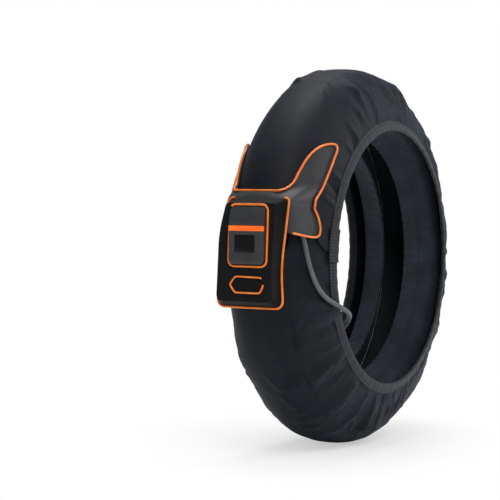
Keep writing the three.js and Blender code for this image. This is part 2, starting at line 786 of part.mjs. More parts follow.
// Lead from the controller's near side through the panel to the boot under the panel's lower edge
const leadRadius = 4;
const controllerLeadRoute = [
  new THREE.Vector3(-334, -42.6, 84),
  new THREE.Vector3(-333, -45.5, 85),
  new THREE.Vector3(-329, -47.5, 87),
  new THREE.Vector3(-322, -48.5, 88.5),
  new THREE.Vector3(-314, -49.5, 88),
  new THREE.Vector3(-307.5, -51, 85),
];
const bootRadius = 5.6;
const bootStart = coverPointAtHeight(80, 53, bootRadius + 1.5);
const bootEnd = coverPointAtHeight(50, 65.5, leadRadius + 1.5);

// Lead from the controller's back through the panel and the cover to the heating wire
const heaterLeadRadius = 1;
const heaterLeadAcross = 14;

function heaterLeadRoute() {
  const outside = [[323.8, 82], [320, 87], [315, 97], [310.5, 106.5], [304, 113.5], [297, 120], [288.5, 131]];
  const depth = waddingBottom(heaterLeadAcross) - wireSpace / 2;
  return [
    ...outside.map(([reach, height]) => new THREE.Vector3(-reach, -heaterLeadAcross, height)),
    layerPoint(heatedStart + 2, heaterLeadAcross, depth),
    layerPoint(heatedStart + 5, heaterLeadAcross + 4, depth),
    layerPoint(heatedStart + 6, 30, waddingBottom(30) - wireSpace / 2),
    layerPoint(heatedStart + 7, 42, waddingBottom(42) - wireSpace / 2),
  ];
}

// Point on the flat facet between the angles and stations of the heated layers
function layerPoint(angle, across, lift) {
  const share = (value, list) => {
    const index = Math.max(0, list.findLastIndex((mark, i) => mark <= value && i < list.length - 1));
    return [index, (value - list[index]) / (list[index + 1] - list[index])];
  };
  const [i, alongAngle] = share(angle, heatedAngles);
  const [j, alongAcross] = share(across, heatedStations);
  const corner = (a, b) => coverPoint(heatedAngles[i + a], heatedStations[j + b], lift);
  const first = corner(0, 0).lerp(corner(0, 1), alongAcross);
  const second = corner(1, 0).lerp(corner(1, 1), alongAcross);
  return first.lerp(second, alongAngle);
}

function buildLeads() {
  addMesh('controller_lead', tube(smooth(controllerLeadRoute, 9), leadRadius, 8), sheathGrey, 0.6);
  addMesh('heater_lead', tube(heaterLeadRoute(), heaterLeadRadius, 6), leadBlack, 0.6);
  const axis = bootEnd.clone().sub(bootStart);
  const length = axis.length();
  const profile = [
    [0, 0], [bootRadius, 0], [bootRadius, length * 0.25], [leadRadius + 0.9, length], [0, length],
  ];
  addMesh('cable_boot', lathe(profile, 12, bootStart, axis), rubberBlack, 0.7);
}

// Power cable, along its middle: down the cover, over the near hem, through the ring, over the far hem to the floor
const floorLevel = -(crownRadius + 1);
const cableRadius = 4;
const coilMiddle = new THREE.Vector3(171.9, 84.3, 0);
const coilInner = 36;
const coilOuter = 52;
const coilHeight = 16;
const coilRounding = 3;
const tieThickness = 1.4;
const tieWidth = 5;

const cableRoute = [
  bootEnd.clone().add(bootEnd.clone().sub(bootStart).setLength(1.5)),
  coverPoint(4.6, 70.5, 4.9),
  coverPoint(-0.8, 74.3, 4.9),
  coverPoint(-4.7, 77.6, 4.9),
  coverPoint(-8.7, 81.5, 4.9),
  coverPoint(-13, 87, 5.4),
  coverPoint(-17, 93.5, 6.6),
  wheelPoint(-21, 103, 214),
  wheelPoint(-25.5, 101, 200),
  wheelPoint(-31, 89, 191),
  wheelPoint(-37.5, 70, 190),
  wheelPoint(-45, 47, 194),
  wheelPoint(-52, 23, 199),
  wheelPoint(-58, 0, 200.5),
  wheelPoint(-64, -22, 201),
  wheelPoint(-70, -43, 210),
  wheelPoint(-76.5, -61, 220),
  wheelPoint(-84, -74, 229),
  new THREE.Vector3(-6, 78, -230),
  new THREE.Vector3(11.9, 80.3, -230),
  new THREE.Vector3(24.2, 83.4, -227.7),
  new THREE.Vector3(36, 86.6, -219.5),
  new THREE.Vector3(42, 88.8, -213),
  new THREE.Vector3(53.9, 93.6, -204.8),
  new THREE.Vector3(66, 98.5, -202.5),
  new THREE.Vector3(77.7, 103.5, -204.8),
  new THREE.Vector3(89.5, 108.4, -213),
  new THREE.Vector3(96.4, 111.4, -224.1),
  new THREE.Vector3(99.5, 112.5, -238.5),
  new THREE.Vector3(103, 111.5, -258),
  new THREE.Vector3(108, 109.8, -282),
  new THREE.Vector3(113, 112.4, -303),
  new THREE.Vector3(124.8, 120.1, -317),
  new THREE.Vector3(140.5, 130.8, floorLevel + cableRadius + 0.4),
];

function buildCable() {
  addMesh('power_cable', tube(smooth(cableRoute, 76), cableRadius, 8), sheathGrey, 0.55);
  const bottom = floorLevel + tieThickness + 0.4;
  const shoulder = coilHeight - coilRounding;
  const profile = [
    [coilInner + coilRounding, 0], [coilOuter - coilRounding, 0], [coilOuter, coilRounding], [coilOuter, shoulder],
    [coilOuter - coilRounding, coilHeight], [coilInner + coilRounding, coilHeight], [coilInner, shoulder],
    [coilInner, coilRounding], [coilInner + coilRounding, 0],
  ];
  const up = new THREE.Vector3(0, 0, 1);
  const place = coilMiddle.clone().setZ(bottom);
  addMesh('cable_coil', lathe(profile, 28, place, up), sheathGrey, 0.55);

  const loopShape = (grow) => [
    new THREE.Vector2(coilInner - grow, -grow), new THREE.Vector2(coilOuter + grow, -grow),
    new THREE.Vector2(coilOuter + grow, coilHeight + grow), new THREE.Vector2(coilInner - grow, coilHeight + grow),
  ];
  const tieShape = new THREE.Shape(loopShape(tieThickness + clearance));
  tieShape.holes = [new THREE.Path(loopShape(clearance))];
  const tie = new THREE.ExtrudeGeometry(tieShape, { depth: tieWidth, bevelEnabled: false });
  tie.translate(0, 0, -tieWidth / 2).rotateX(Math.PI / 2).rotateZ(-Math.PI / 3);
  addMesh('cable_tie', tie.translate(place.x, place.y, place.z), rubberBlack, 0.6);
}

// Mains plug lying behind the coil, its pins along its axis
const plugTail = new THREE.Vector3(180, 141.2, floorLevel + 12);
const plugRadius = 18.3;
const plugReliefLength = 28;
const plugBodyLength = 36;
const pinLength = 19;
const pinRadius = 2.4;
const pinSpacing = 19;

function buildPlug() {
  const length = plugReliefLength + plugBodyLength;
  const tilt = Math.asin((floorLevel + plugRadius + 0.3 - plugTail.z) / length);
  const axis = new THREE.Vector3(Math.cos(tilt), 0, Math.sin(tilt));
  const profile = [
    [0, 0], [cableRadius + 1, 0], [cableRadius + 3, plugReliefLength - 2], [12, plugReliefLength],
    [plugRadius - 2, plugReliefLength + 10], [plugRadius, plugReliefLength + 14], [plugRadius, length - 1.5],
    [plugRadius - 1.5, length], [0, length],
  ];
  addMesh('plug_body', lathe(profile, 20, plugTail, axis), rubberBlack, 0.6);
  const face = plugTail.clone().addScaledVector(axis, length + clearance);
  const pinProfile = [[0, 0], [pinRadius, 0], [pinRadius, pinLength - 1], [pinRadius - 1, pinLength], [0, pinLength]];
  for (const [name, side] of sides) {
    const place = face.clone().add(new THREE.Vector3(0, (-side * pinSpacing) / 2, 0));
    addMesh(`${name}_plug_pin`, lathe(pinProfile, 10, place, axis), nickel, 0.25, 1);
  }
}

// Temperature sensor between two rows of the wire
function buildSensor() {
  const angles = [45, 49];
  const stations = [22, 36];
  const margin = 0.5;
  const grid = (drop) => angles.map((angle) => stations.map((across) => {
    return layerPoint(angle, across, waddingBottom(across) - drop);
  }));
  addMesh('temperature_sensor', clothSolid(grid(margin), grid(wireSpace - margin)), sensorCream, 0.5);
}

// Stitched tab that closes the upper end of the near hem
const tabThickness = 1.6;

function buildHemTab() {
  const length = Math.hypot(hemReach - shoulderReach, shoulderRadius - hemRadius);
  const lift = 2 * clearance + bindingThickness;
  const stations = [length - bindingWidth, length].map((along) => flapPoint(along, 0)[0]);
  const angles = [upperEnd, 10.5, 14];
  addMesh('hem_tab', coverLayer(angles, stations, () => lift + tabThickness, () => lift), charcoal, 0.8);
}

// Four screws that hold the controller's shells together, their heads in its back
function buildScrews() {
  const half = controllerWidth / 2 - 4;
  const middle = controllerBottom + controllerHeight / 2;
  const spacing = 40;
  const headRadius = 2.6;
  const headHeight = 0.6;
  const sunk = 0.9;
  for (const [name, side] of sides) {
    for (const [level, end] of [['lower', -1], ['upper', 1]]) {
      const place = new THREE.Vector3(-controllerBack + sunk, -(controllerMiddle + side * half), middle + end * spacing);
      const profile = [[0, 0], [headRadius, 0], [headRadius - 0.4, headHeight], [0, headHeight]];
      const head = lathe(profile, 10, place, new THREE.Vector3(-1, 0, 0));
      addMesh(`${level}_${name}_screw`, head, steel, 0.35, 1);
    }
  }
}

buildHems();
buildCover();
buildHeatedLayers();
buildHeatingWire();
buildSkirts();
buildClosure();
buildPanel();
buildLeads();
buildSensor();
buildHemTab();
buildCable();
buildPlug();
parent = pocketFrame;
buildPocket();
buildPipings();
buildController();
buildScrews();

export default group;
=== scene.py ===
"""Looks of the motorcycle tire warmer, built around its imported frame, in metres and degrees.

The origin is the centre of the wheel, the axle runs along Y and the pocket faces -X. Angles run round the wheel
from the pocket, upwards first. "Across" is the distance from the middle of the tread towards the near side, -Y.
"""

import math

import bmesh
import bpy
import numpy as np
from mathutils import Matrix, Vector, noise


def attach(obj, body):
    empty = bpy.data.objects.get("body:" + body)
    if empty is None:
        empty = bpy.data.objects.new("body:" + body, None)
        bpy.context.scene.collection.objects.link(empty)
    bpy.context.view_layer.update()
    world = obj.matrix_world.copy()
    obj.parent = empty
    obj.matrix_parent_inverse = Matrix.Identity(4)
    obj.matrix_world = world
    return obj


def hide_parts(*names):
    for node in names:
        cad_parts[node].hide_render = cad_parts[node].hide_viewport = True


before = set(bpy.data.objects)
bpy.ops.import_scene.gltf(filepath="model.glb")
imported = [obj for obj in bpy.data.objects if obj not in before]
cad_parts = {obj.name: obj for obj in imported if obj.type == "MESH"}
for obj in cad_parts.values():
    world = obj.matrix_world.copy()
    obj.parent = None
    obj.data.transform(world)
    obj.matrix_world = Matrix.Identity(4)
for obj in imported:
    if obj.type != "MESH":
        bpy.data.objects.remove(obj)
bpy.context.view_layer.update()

# Section of the cover on its tyre
CROWN_RADIUS = 0.326
CROWN_POWER = 2.7
SHOULDER_RADIUS = 0.2574
SHOULDER_REACH = 0.0829
HEM_RADIUS = 0.2185
HEM_REACH = 0.0972
FLAP_LENGTH = math.hypot(HEM_REACH - SHOULDER_REACH, SHOULDER_RADIUS - HEM_RADIUS)

# Layers
COVER_THICKNESS = 0.0016
WADDING_THICKNESS = 0.006
WADDING_EDGE = 0.004
WIRE_SPACE = 0.003
CLEARANCE = 0.0003
LINING_THICKNESS = 0.0015
SKIRT_THICKNESS = 0.0012
HEATED_REACH = 0.064

# Ends of the cover at its closure
UPPER_END = 5.0
LOWER_END = 363.0
HEATED_START = 27.0
HEATED_END = 351.0

# Hem binding
BINDING_WIDTH = 0.017
BINDING_GAP = 0.3
RIB_SPACING = 0.0026
BINDING_TOP = 0.0015
BINDING_BOTTOM = -0.0037
COVER_EDGE = 0.0334
ELASTIC_END = 0.0018
ELASTIC_WIDTH = 0.005
ELASTIC_DEPTH = -0.0012

# Inner skirt and gathered band
SEAM_REACH = 0.045
SEAM_RADIUS = 0.222
GATHER_REACH = 0.021
GATHER_RADIUS = 0.210
GATHER_DEPTH = 0.003

# Winged panel
PANEL_THICKNESS = 0.0015
PANEL_LIFT = 0.001
FAR_LIES_DOWN = 0.018
PIPING_RADIUS = 0.0019

# Pocket
POCKET_BACK = 0.3286
POCKET_LEAN = 3.5
POCKET_DEPTH = 0.023
POCKET_WALL = 0.002
POCKET_TOP = 0.108
POCKET_NEAR = 0.060

# Controller window
CONTROLLER_MIDDLE = 0.007
CONTROLLER_WIDTH = 0.063
CONTROLLER_BOTTOM = 0.0015
CONTROLLER_HEIGHT = 0.092
WINDOW_PIPING_END = 0.063
THREAD_RADIUS = 0.0003

FLOOR_LEVEL = -(CROWN_RADIUS + 0.001)
CABLE_RADIUS = 0.004


# Camera, from the photograph's perspective
CAMERA_AZIMUTH = -63.464
CAMERA_ELEVATION = 3.131
CAMERA_DISTANCE = 2.9727
CAMERA_LENS = 121.58
PICTURE_SIDE = 500
FOCAL_PIXELS = CAMERA_LENS / 36 * PICTURE_SIDE
WHEEL_CENTRE_PIXEL = (343.8, 255.5)


def make_camera():
    azimuth = math.radians(CAMERA_AZIMUTH)
    elevation = math.radians(CAMERA_ELEVATION)
    level = math.cos(elevation)
    back = Vector((math.sin(azimuth) * level, -math.cos(azimuth) * level, math.sin(elevation)))
    right = (-back).cross(Vector((0, 0, 1))).normalized()
    up = right.cross(-back)
    per_pixel = CAMERA_DISTANCE / FOCAL_PIXELS
    aside = (WHEEL_CENTRE_PIXEL[0] - PICTURE_SIDE / 2) * per_pixel
    below = (WHEEL_CENTRE_PIXEL[1] - PICTURE_SIDE / 2) * per_pixel
    target = up * below - right * aside
    data = bpy.data.cameras.new("camera")
    data.lens = CAMERA_LENS
    camera = bpy.data.objects.new("camera", data)
    camera.location = back * CAMERA_DISTANCE
    camera.rotation_euler = (target - camera.location).to_track_quat("-Z", "Y").to_euler()
    bpy.context.scene.collection.objects.link(camera)
    bpy.context.scene.camera = camera


make_camera()


# Places on the wheel. Each takes single numbers or arrays that go together


def cover_radius(across):
    reach = np.abs(across)
    share = np.minimum(reach, SHOULDER_REACH) / SHOULDER_REACH
    crown = CROWN_RADIUS - (CROWN_RADIUS - SHOULDER_RADIUS) * share**CROWN_POWER
    along = (reach - SHOULDER_REACH) / (HEM_REACH - SHOULDER_REACH)
    flap = SHOULDER_RADIUS + along * (HEM_RADIUS - SHOULDER_RADIUS)
    return np.where(reach <= SHOULDER_REACH, crown, flap)


def cover_normal(across):
    step = 1e-5
    slope = (cover_radius(across + step) - cover_radius(across - step)) / (2 * step)
    length = np.hypot(slope, 1)
    return -slope / length, 1 / length


def wheel_point(angle, across, radius):
    turn = np.radians(angle)
    across = across + 0 * turn
    return np.stack([-radius * np.cos(turn), -across, radius * np.sin(turn)], -1)


def cover_point(angle, across, lift=0.0):
    sideways, outward = cover_normal(across)
    return wheel_point(angle, across + sideways * lift, cover_radius(across) + outward * lift)


def cover_point_at_height(height, across, lift=0.0):
    angle = np.degrees(np.arcsin(height / cover_radius(across)))
    return cover_point(angle, across, lift)


def smoothstep(value, low, high):
    share = np.clip((value - low) / (high - low), 0, 1)
    return share * share * (3 - 2 * share)


def section_place(across):
    """Distance along the cover's section from the middle of the tread."""
    marks = np.linspace(0, HEM_REACH, 400)
    lengths = np.concatenate([[0], np.cumsum(np.hypot(np.diff(marks), np.diff(cover_radius(marks))))])
    return np.sign(across) * np.interp(np.abs(across), marks, lengths)


def section_stations(count, edge):
    """Places across the wheel, evenly spaced along the section out to a reach on both sides."""
    marks = np.linspace(-edge, edge, 1600)
    return np.interp(np.linspace(section_place(-edge), section_place(edge), count), section_place(marks), marks)


def flap_point(along, lift):
    """Place on the flat side flap, as (across, radius), by distance from the shoulder and lift."""
    side = (HEM_REACH - SHOULDER_REACH) / FLAP_LENGTH
    drop = (HEM_RADIUS - SHOULDER_RADIUS) / FLAP_LENGTH
    return SHOULDER_REACH + side * along - drop * lift, SHOULDER_RADIUS + drop * along + side * lift


# Meshes


def new_piece(name, mesh, material):
    piece = bpy.data.objects.new(name, mesh)
    bpy.context.scene.collection.objects.link(piece)
    mesh.materials.clear()
    mesh.materials.append(material)
    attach(piece, "root")
    return piece


def apply_modifier(piece, kind, **settings):
    modifier = piece.modifiers.new(kind.lower(), kind)
    for name, value in settings.items():
        setattr(modifier, name, value)
    bpy.ops.object.select_all(action="DESELECT")
    piece.select_set(True)
    bpy.context.view_layer.objects.active = piece
    bpy.ops.object.modifier_apply(modifier=modifier.name)


def shade_smooth(piece, degrees=35):
    bpy.ops.object.select_all(action="DESELECT")
    piece.select_set(True)
    bpy.context.view_layer.objects.active = piece
    bpy.ops.object.shade_smooth_by_angle(angle=math.radians(degrees))


def grid_lengths(points):
    """Distances along the rows' middle and along each row of a grid, for a pattern that follows the cloth."""
    middle = points[:, points.shape[1] // 2]
    along = np.concatenate([[0], np.cumsum(np.linalg.norm(np.diff(middle, axis=0), axis=1))])
    row = points[points.shape[0] // 2]
    across = np.concatenate([[0], np.cumsum(np.linalg.norm(np.diff(row, axis=0), axis=1))])
    return along, across


def grid_mesh(name, points, ring=False):
    """Open mesh on a grid of points, facing outwards when rows follow the wheel and columns go across."""
    rows, columns = points.shape[:2]
    mesh = bmesh.new()
    verts = [[mesh.verts.new(points[i, j]) for j in range(columns)] for i in range(rows)]
    layer = mesh.loops.layers.uv.new("cloth")
    along, across = grid_lengths(points)
    spans = range(rows) if ring else range(rows - 1)
    for i in spans:
        below = (i + 1) % rows
        for j in range(columns - 1):
            corners = [(i, j), (i, j + 1), (below, j + 1), (below, j)]
            face = mesh.faces.new([verts[a][b] for a, b in corners])
            for loop, (a, b) in zip(face.loops, corners):
                loop[layer].uv = (along[a], across[b])
    data = bpy.data.meshes.new(name)
    mesh.to_mesh(data)
    mesh.free()
    return data


def cloth(name, points, thickness, material, slot, replaced=(), outwards=True):
    """Closed cloth under a grid of points that lie on its outer face."""
    if not outwards:
        points = points[:, ::-1]
    piece = new_piece(name, grid_mesh(name, points), material)
    apply_modifier(piece, "SOLIDIFY", thickness=thickness, offset=-1, use_even_offset=False)
    shade_smooth(piece, 50)
    if replaced:
        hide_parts(*replaced)
    return piece


def catmull(points, per_span):
    """Smooth line through points, with a number of steps in each span."""
    points = [Vector(p) for p in points]
    ends = [points[0] * 2 - points[1], *points, points[-1] * 2 - points[-2]]
    line = []
    for p0, p1, p2, p3 in zip(ends, ends[1:], ends[2:], ends[3:]):
        marks = [0.0]
        for a, b in ((p0, p1), (p1, p2), (p2, p3)):
            marks.append(marks[-1] + math.sqrt((b - a).length))
        for step in range(per_span):
            t = marks[1] + (marks[2] - marks[1]) * step / per_span
            a1 = p0.lerp(p1, (t - marks[0]) / (marks[1] - marks[0]))
            a2 = p1.lerp(p2, (t - marks[1]) / (marks[2] - marks[1]))
            a3 = p2.lerp(p3, (t - marks[2]) / (marks[3] - marks[2]))
            b1 = a1.lerp(a2, (t - marks[0]) / (marks[2] - marks[0]))
            b2 = a2.lerp(a3, (t - marks[1]) / (marks[3] - marks[1]))
            line.append(b1.lerp(b2, (t - marks[1]) / (marks[2] - marks[1])))
    line.append(points[-1])
    return line


def tube(name, line, radius, material, replaced=(), closed=False, sides=3):
    """Round cord along a line, as a curve with flat, closed ends."""
    curve = bpy.data.curves.new(name, "CURVE")
    curve.dimensions = "3D"
    curve.bevel_depth = radius
    curve.bevel_resolution = sides
    curve.use_fill_caps = True
    spline = curve.splines.new("POLY")
    spline.points.add(len(line) - 1)
    for point, place in zip(spline.points, line):
        point.co = (*place, 1)
    spline.use_cyclic_u = closed
    piece = bpy.data.objects.new(name, curve)
    bpy.context.scene.collection.objects.link(piece)
    curve.materials.append(material)
    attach(piece, "root")
    if replaced:
        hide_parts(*replaced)
    return piece


def softened(name, node, width, material, segments=2, limit=30):
    """The CAD node's own shape with its edges rounded."""
    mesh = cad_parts[node].data.copy()
    shape = bmesh.new()
    shape.from_mesh(mesh)
    bmesh.ops.remove_doubles(shape, verts=shape.verts, dist=1e-6)
    bmesh.ops.dissolve_limit(shape, angle_limit=math.radians(1), verts=shape.verts, edges=shape.edges)
    shape.to_mesh(mesh)
    shape.free()
    piece = new_piece(name, mesh, material)
    apply_modifier(
        piece, "BEVEL", width=width, segments=segments, limit_method="ANGLE", angle_limit=math.radians(limit)
    )
    shade_smooth(piece)
    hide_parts(node)
    return piece


# Materials: nodes are added with their settings and inputs, and a socket among the inputs becomes a link


def hex_color(text):
    def linear(value):
        return value / 12.92 if value <= 0.04045 else ((value + 0.055) / 1.055) ** 2.4

    return (*(linear(int(text[i : i + 2], 16) / 255) for i in (1, 3, 5)), 1)


def add(tree, kind, inputs=None, **settings):
    made = tree.nodes.new(kind)
    for name, value in settings.items():
        setattr(made, name, value)
    for name, value in (inputs or {}).items():
        socket = made.inputs[name]
        if isinstance(value, bpy.types.NodeSocket):
            tree.links.new(value, socket)
        else:
            socket.default_value = value
    return made


def start_material(name, **shader):
    """A new material: returns it with its tree and shader, whose uniform values are given."""
    made = bpy.data.materials.new(name)
    made.use_nodes = True
    tree = made.node_tree
    principled = tree.nodes["Principled BSDF"]
    for socket, value in shader.items():
        principled.inputs[socket.replace("_", " ")].default_value = value
    return made, tree, principled


def coordinates(tree, source, scale=(1, 1, 1)):
    texture = add(tree, "ShaderNodeTexCoord")
    return add(tree, "ShaderNodeMapping", {"Vector": texture.outputs[source], "Scale": scale}).outputs["Vector"]


def varied_color(tree, vector, scale, dark, light, low=0.35, high=0.65):
    """Two colours mixed by soft noise of a given scale."""
    blot = add(tree, "ShaderNodeTexNoise", {"Vector": vector, "Scale": scale, "Detail": 3.0})
    ramp = add(tree, "ShaderNodeValToRGB", {"Fac": blot.outputs["Fac"]})
    ramp.color_ramp.elements[0].position = low
    ramp.color_ramp.elements[0].color = hex_color(dark)
    ramp.color_ramp.elements[1].position = high
    ramp.color_ramp.elements[1].color = hex_color(light)
    return ramp.outputs["Color"]


def thread_bump(tree, vector, spacing, strength, distance, normal=None):
    """Plain weave: raised threads both ways, one thread for each spacing."""
    turns = 1 / spacing / 2
    wave = {"Vector": vector, "Scale": turns / math.pi, "Distortion": 0.4, "Detail": 1.0}
    warp = add(tree, "ShaderNodeTexWave", wave, bands_direction="X")
    weft = add(tree, "ShaderNodeTexWave", wave, bands_direction="Y")
    both = add(tree, "ShaderNodeMath", {0: warp.outputs["Fac"], 1: weft.outputs["Fac"]}, operation="MULTIPLY")
    inputs = {"Height": both.outputs[0], "Strength": strength, "Distance": distance}
    if normal:
        inputs["Normal"] = normal
    return add(tree, "ShaderNodeBump", inputs).outputs["Normal"]


def noise_bump(tree, vector, scale, strength, distance, normal=None, detail=4.0):
    grain = add(tree, "ShaderNodeTexNoise", {"Vector": vector, "Scale": scale, "Detail": detail})
    inputs = {"Height": grain.outputs["Fac"], "Strength": strength, "Distance": distance}
    if normal:
        inputs["Normal"] = normal
    return add(tree, "ShaderNodeBump", inputs).outputs["Normal"]


def coated_nylon():
    """Tightly woven coated nylon: near-black navy with a soft bluish sheen, fine threads and slight creasing."""
    made, tree, shader = start_material("coated_nylon", Roughness=0.6, Sheen_Weight=0.1, Sheen_Roughness=0.35)
    shader.inputs["Specular IOR Level"].default_value = 0.2
    shader.inputs["Sheen Tint"].default_value = hex_color("#5f86b8")
    cloth_place = coordinates(tree, "UV")
    place = coordinates(tree, "Object")
    color = varied_color(tree, place, 14.0, "#090c13", "#0f141d")
    creases = noise_bump(tree, coordinates(tree, "UV", (60, 22, 1)), 1.0, 0.25, 0.0012, detail=5.0)
    threads = thread_bump(tree, cloth_place, 0.0007, 0.25, 0.0002, creases)
    tree.links.new(color, shader.inputs["Base Color"])
    tree.links.new(threads, shader.inputs["Normal"])
    return made


def lining_cloth(name, dark, light):
    """Heat-proof lining cloth: duller and a little coarser than the cover, with a fine puckered surface."""
    made, tree, shader = start_material(name, Roughness=0.75, Sheen_Weight=0.1, Sheen_Roughness=0.5)
    shader.inputs["Specular IOR Level"].default_value = 0.3
    shader.inputs["Sheen Tint"].default_value = hex_color("#7d8ba0")
    color = varied_color(tree, coordinates(tree, "Object"), 25.0, dark, light)
    pucker = noise_bump(tree, coordinates(tree, "UV", (140, 50, 1)), 1.0, 0.5, 0.0012)
    threads = thread_bump(tree, coordinates(tree, "UV"), 0.0009, 0.3, 0.0002, pucker)
    tree.links.new(color, shader.inputs["Base Color"])
    tree.links.new(threads, shader.inputs["Normal"])
    return made


def ribbed_tape():
    """Binding tape: dark grey with close ribs along its length, with a painted highlight on the rib crests and
    painted shade in the grooves.
    """
    made, tree, shader = start_material("ribbed_tape", Roughness=0.7, Sheen_Weight=0.06)
    shader.inputs["Specular IOR Level"].default_value = 0.3
    place = coordinates(tree, "UV")
    wave = {"Vector": place, "Scale": 1 / RIB_SPACING / 2 / math.pi, "Distortion": 0.3}
    ribs = add(tree, "ShaderNodeTexWave", wave, bands_direction="X")
    # The colour follows the rib height: painted shade in the grooves and a painted highlight on the crests.
    ramp = add(tree, "ShaderNodeValToRGB", {"Fac": ribs.outputs["Fac"]})
    ramp.color_ramp.elements[0].color = hex_color("#191c20")
    ramp.color_ramp.elements[1].color = hex_color("#30353a")
    bump = add(tree, "ShaderNodeBump", {"Height": ribs.outputs["Fac"], "Strength": 0.5, "Distance": 0.0003})
    tree.links.new(ramp.outputs["Color"], shader.inputs["Base Color"])
    tree.links.new(bump.outputs["Normal"], shader.inputs["Normal"])
    return made


def grained_leatherette():
    """Coated leatherette: mid-dark grey, pebbled with small cells, with soft broad highlights."""
    made, tree, shader = start_material("grained_leatherette", Roughness=0.55)
    shader.inputs["Specular IOR Level"].default_value = 0.35
    place = coordinates(tree, "Object")
    color = varied_color(tree, place, 30.0, "#292b2e", "#313336")
    cells = add(tree, "ShaderNodeTexVoronoi", {"Vector": place, "Scale": 900.0}, feature="SMOOTH_F1")
    grain = add(tree, "ShaderNodeBump", {"Height": cells.outputs["Distance"], "Strength": 0.25, "Distance": 0.0004})
    wave = noise_bump(tree, place, 35.0, 0.25, 0.003, grain.outputs["Normal"], detail=2.0)
    tree.links.new(color, shader.inputs["Base Color"])
    tree.links.new(wave, shader.inputs["Normal"])
    return made


def knit_softshell(name, dark, light):
    """Softshell laminate: matt black with a faint knit and small dents."""
    made, tree, shader = start_material(name, Roughness=0.85, Sheen_Weight=0.05)
    shader.inputs["Specular IOR Level"].default_value = 0.2
    place = coordinates(tree, "Object")
    color = varied_color(tree, place, 40.0, dark, light)
    dents = noise_bump(tree, place, 60.0, 0.3, 0.0015, detail=3.0)
    knit = noise_bump(tree, place, 1400.0, 0.3, 0.0003, dents, detail=1.0)
    tree.links.new(color, shader.inputs["Base Color"])
    tree.links.new(knit, shader.inputs["Normal"])
    return made


def glossy_piping():
    """Coated piping: bright orange, smooth, slightly darker in patches where it is handled."""
    made, tree, shader = start_material("glossy_piping", Roughness=0.38, Coat_Weight=0.2)
    place = coordinates(tree, "Object")
    tree.links.new(varied_color(tree, place, 60.0, "#f0701c", "#f98a30"), shader.inputs["Base Color"])
    tree.links.new(noise_bump(tree, place, 500.0, 0.15, 0.0003), shader.inputs["Normal"])
    return made


def moulded_plastic(name, dark, light, roughness=0.5, grain=0.25):
    """Moulded plastic with fine spark-eroded grain and very slight mottling."""
    made, tree, shader = start_material(name, Roughness=roughness)
    place = coordinates(tree, "Object")
    tree.links.new(varied_color(tree, place, 45.0, dark, light), shader.inputs["Base Color"])
    tree.links.new(noise_bump(tree, place, 1600.0, grain, 0.0002, detail=1.0), shader.inputs["Normal"])
    return made


def lit_bar():
    """Translucent orange bar: saturated, glossy and glowing a little as a light guide does, in two oranges mixed by
    soft noise.
    """
    made, tree, shader = start_material("lit_bar", Roughness=0.25, Coat_Weight=0.5, Emission_Strength=0.25)
    place = coordinates(tree, "Object")
    color = varied_color(tree, place, 25.0, "#ff5a00", "#ff7a12")
    tree.links.new(color, shader.inputs["Base Color"])
    tree.links.new(color, shader.inputs["Emission Color"])
    return made


def display_glass():
    """Dark display glass: black and glossy with faint smears in its gloss."""
    made, tree, shader = start_material("display_glass", Coat_Weight=0.1, Coat_Roughness=0.1)
    shader.inputs["Specular IOR Level"].default_value = 0.25
    place = coordinates(tree, "Object")
    smear = add(tree, "ShaderNodeTexNoise", {"Vector": place, "Scale": 80.0, "Detail": 4.0})
    spread = add(tree, "ShaderNodeMapRange", {"Value": smear.outputs["Fac"], "To Min": 0.08, "To Max": 0.22})
    tree.links.new(varied_color(tree, place, 30.0, "#020203", "#050607"), shader.inputs["Base Color"])
    tree.links.new(spread.outputs["Result"], shader.inputs["Roughness"])
    return made


def brushed_metal(name, dark, light):
    """Plated metal with fine drawn lines."""
    made, tree, shader = start_material(name, Roughness=0.28, Metallic=1.0)
    place = coordinates(tree, "Object", (1, 12, 12))
    tree.links.new(varied_color(tree, place, 120.0, dark, light), shader.inputs["Base Color"])
    tree.links.new(noise_bump(tree, place, 300.0, 0.12, 0.0002), shader.inputs["Normal"])
    return made


def fibre_felt(name, dark, light, scale=700.0):
    """Loose fibres: wadding, hook and loop pile, with a coarse soft relief."""
    made, tree, shader = start_material(name, Roughness=0.95, Sheen_Weight=0.4)
    place = coordinates(tree, "Object")
    tree.links.new(varied_color(tree, place, 60.0, dark, light), shader.inputs["Base Color"])
    tree.links.new(noise_bump(tree, place, scale, 0.8, 0.0012, detail=6.0), shader.inputs["Normal"])
    return made


NYLON = coated_nylon()
LINING = lining_cloth("lining_cloth", "#14181d", "#1b2027")
SKIRT = lining_cloth("skirt_cloth", "#1c2229", "#272f39")
TAPE = ribbed_tape()
LEATHERETTE = grained_leatherette()
SOFTSHELL = knit_softshell("knit_softshell", "#090a0c", "#0f1013")
PATCH = knit_softshell("patch_cloth", "#050607", "#0a0b0d")
PIPING = glossy_piping()
THREAD = knit_softshell("sewing_thread", "#2e3238", "#3a3f46")
CASE = moulded_plastic("case_plastic", "#292a2d", "#313235")
CASE_BACK = moulded_plastic("case_back_plastic", "#26282b", "#2d2f33", 0.6)
BAR = lit_bar()
GLASS = display_glass()
CABLE = moulded_plastic("cable_rubber", "#515356", "#5c5e60", 0.5, 0.15)
RUBBER = moulded_plastic("black_rubber", "#1b1c1e", "#232427", 0.6, 0.3)
ELASTIC = lining_cloth("elastic_tape", "#16191d", "#20242a")
WADDING = fibre_felt("wadding_fibre", "#d8d4c8", "#ebe8df", 300.0)
HOOKS = fibre_felt("hook_pile", "#111316", "#1a1c20", 1200.0)
LOOPS = fibre_felt("loop_pile", "#15181b", "#202328", 900.0)
WIRE = moulded_plastic("wire_silicone", "#1a1b1e", "#242529", 0.5, 0.1)
SENSOR = moulded_plastic("sensor_ceramic", "#bdb8a8", "#cfcabc", 0.6, 0.1)
BOARD = moulded_plastic("board_laminate", "#174a2b", "#1f5f38", 0.45, 0.1)
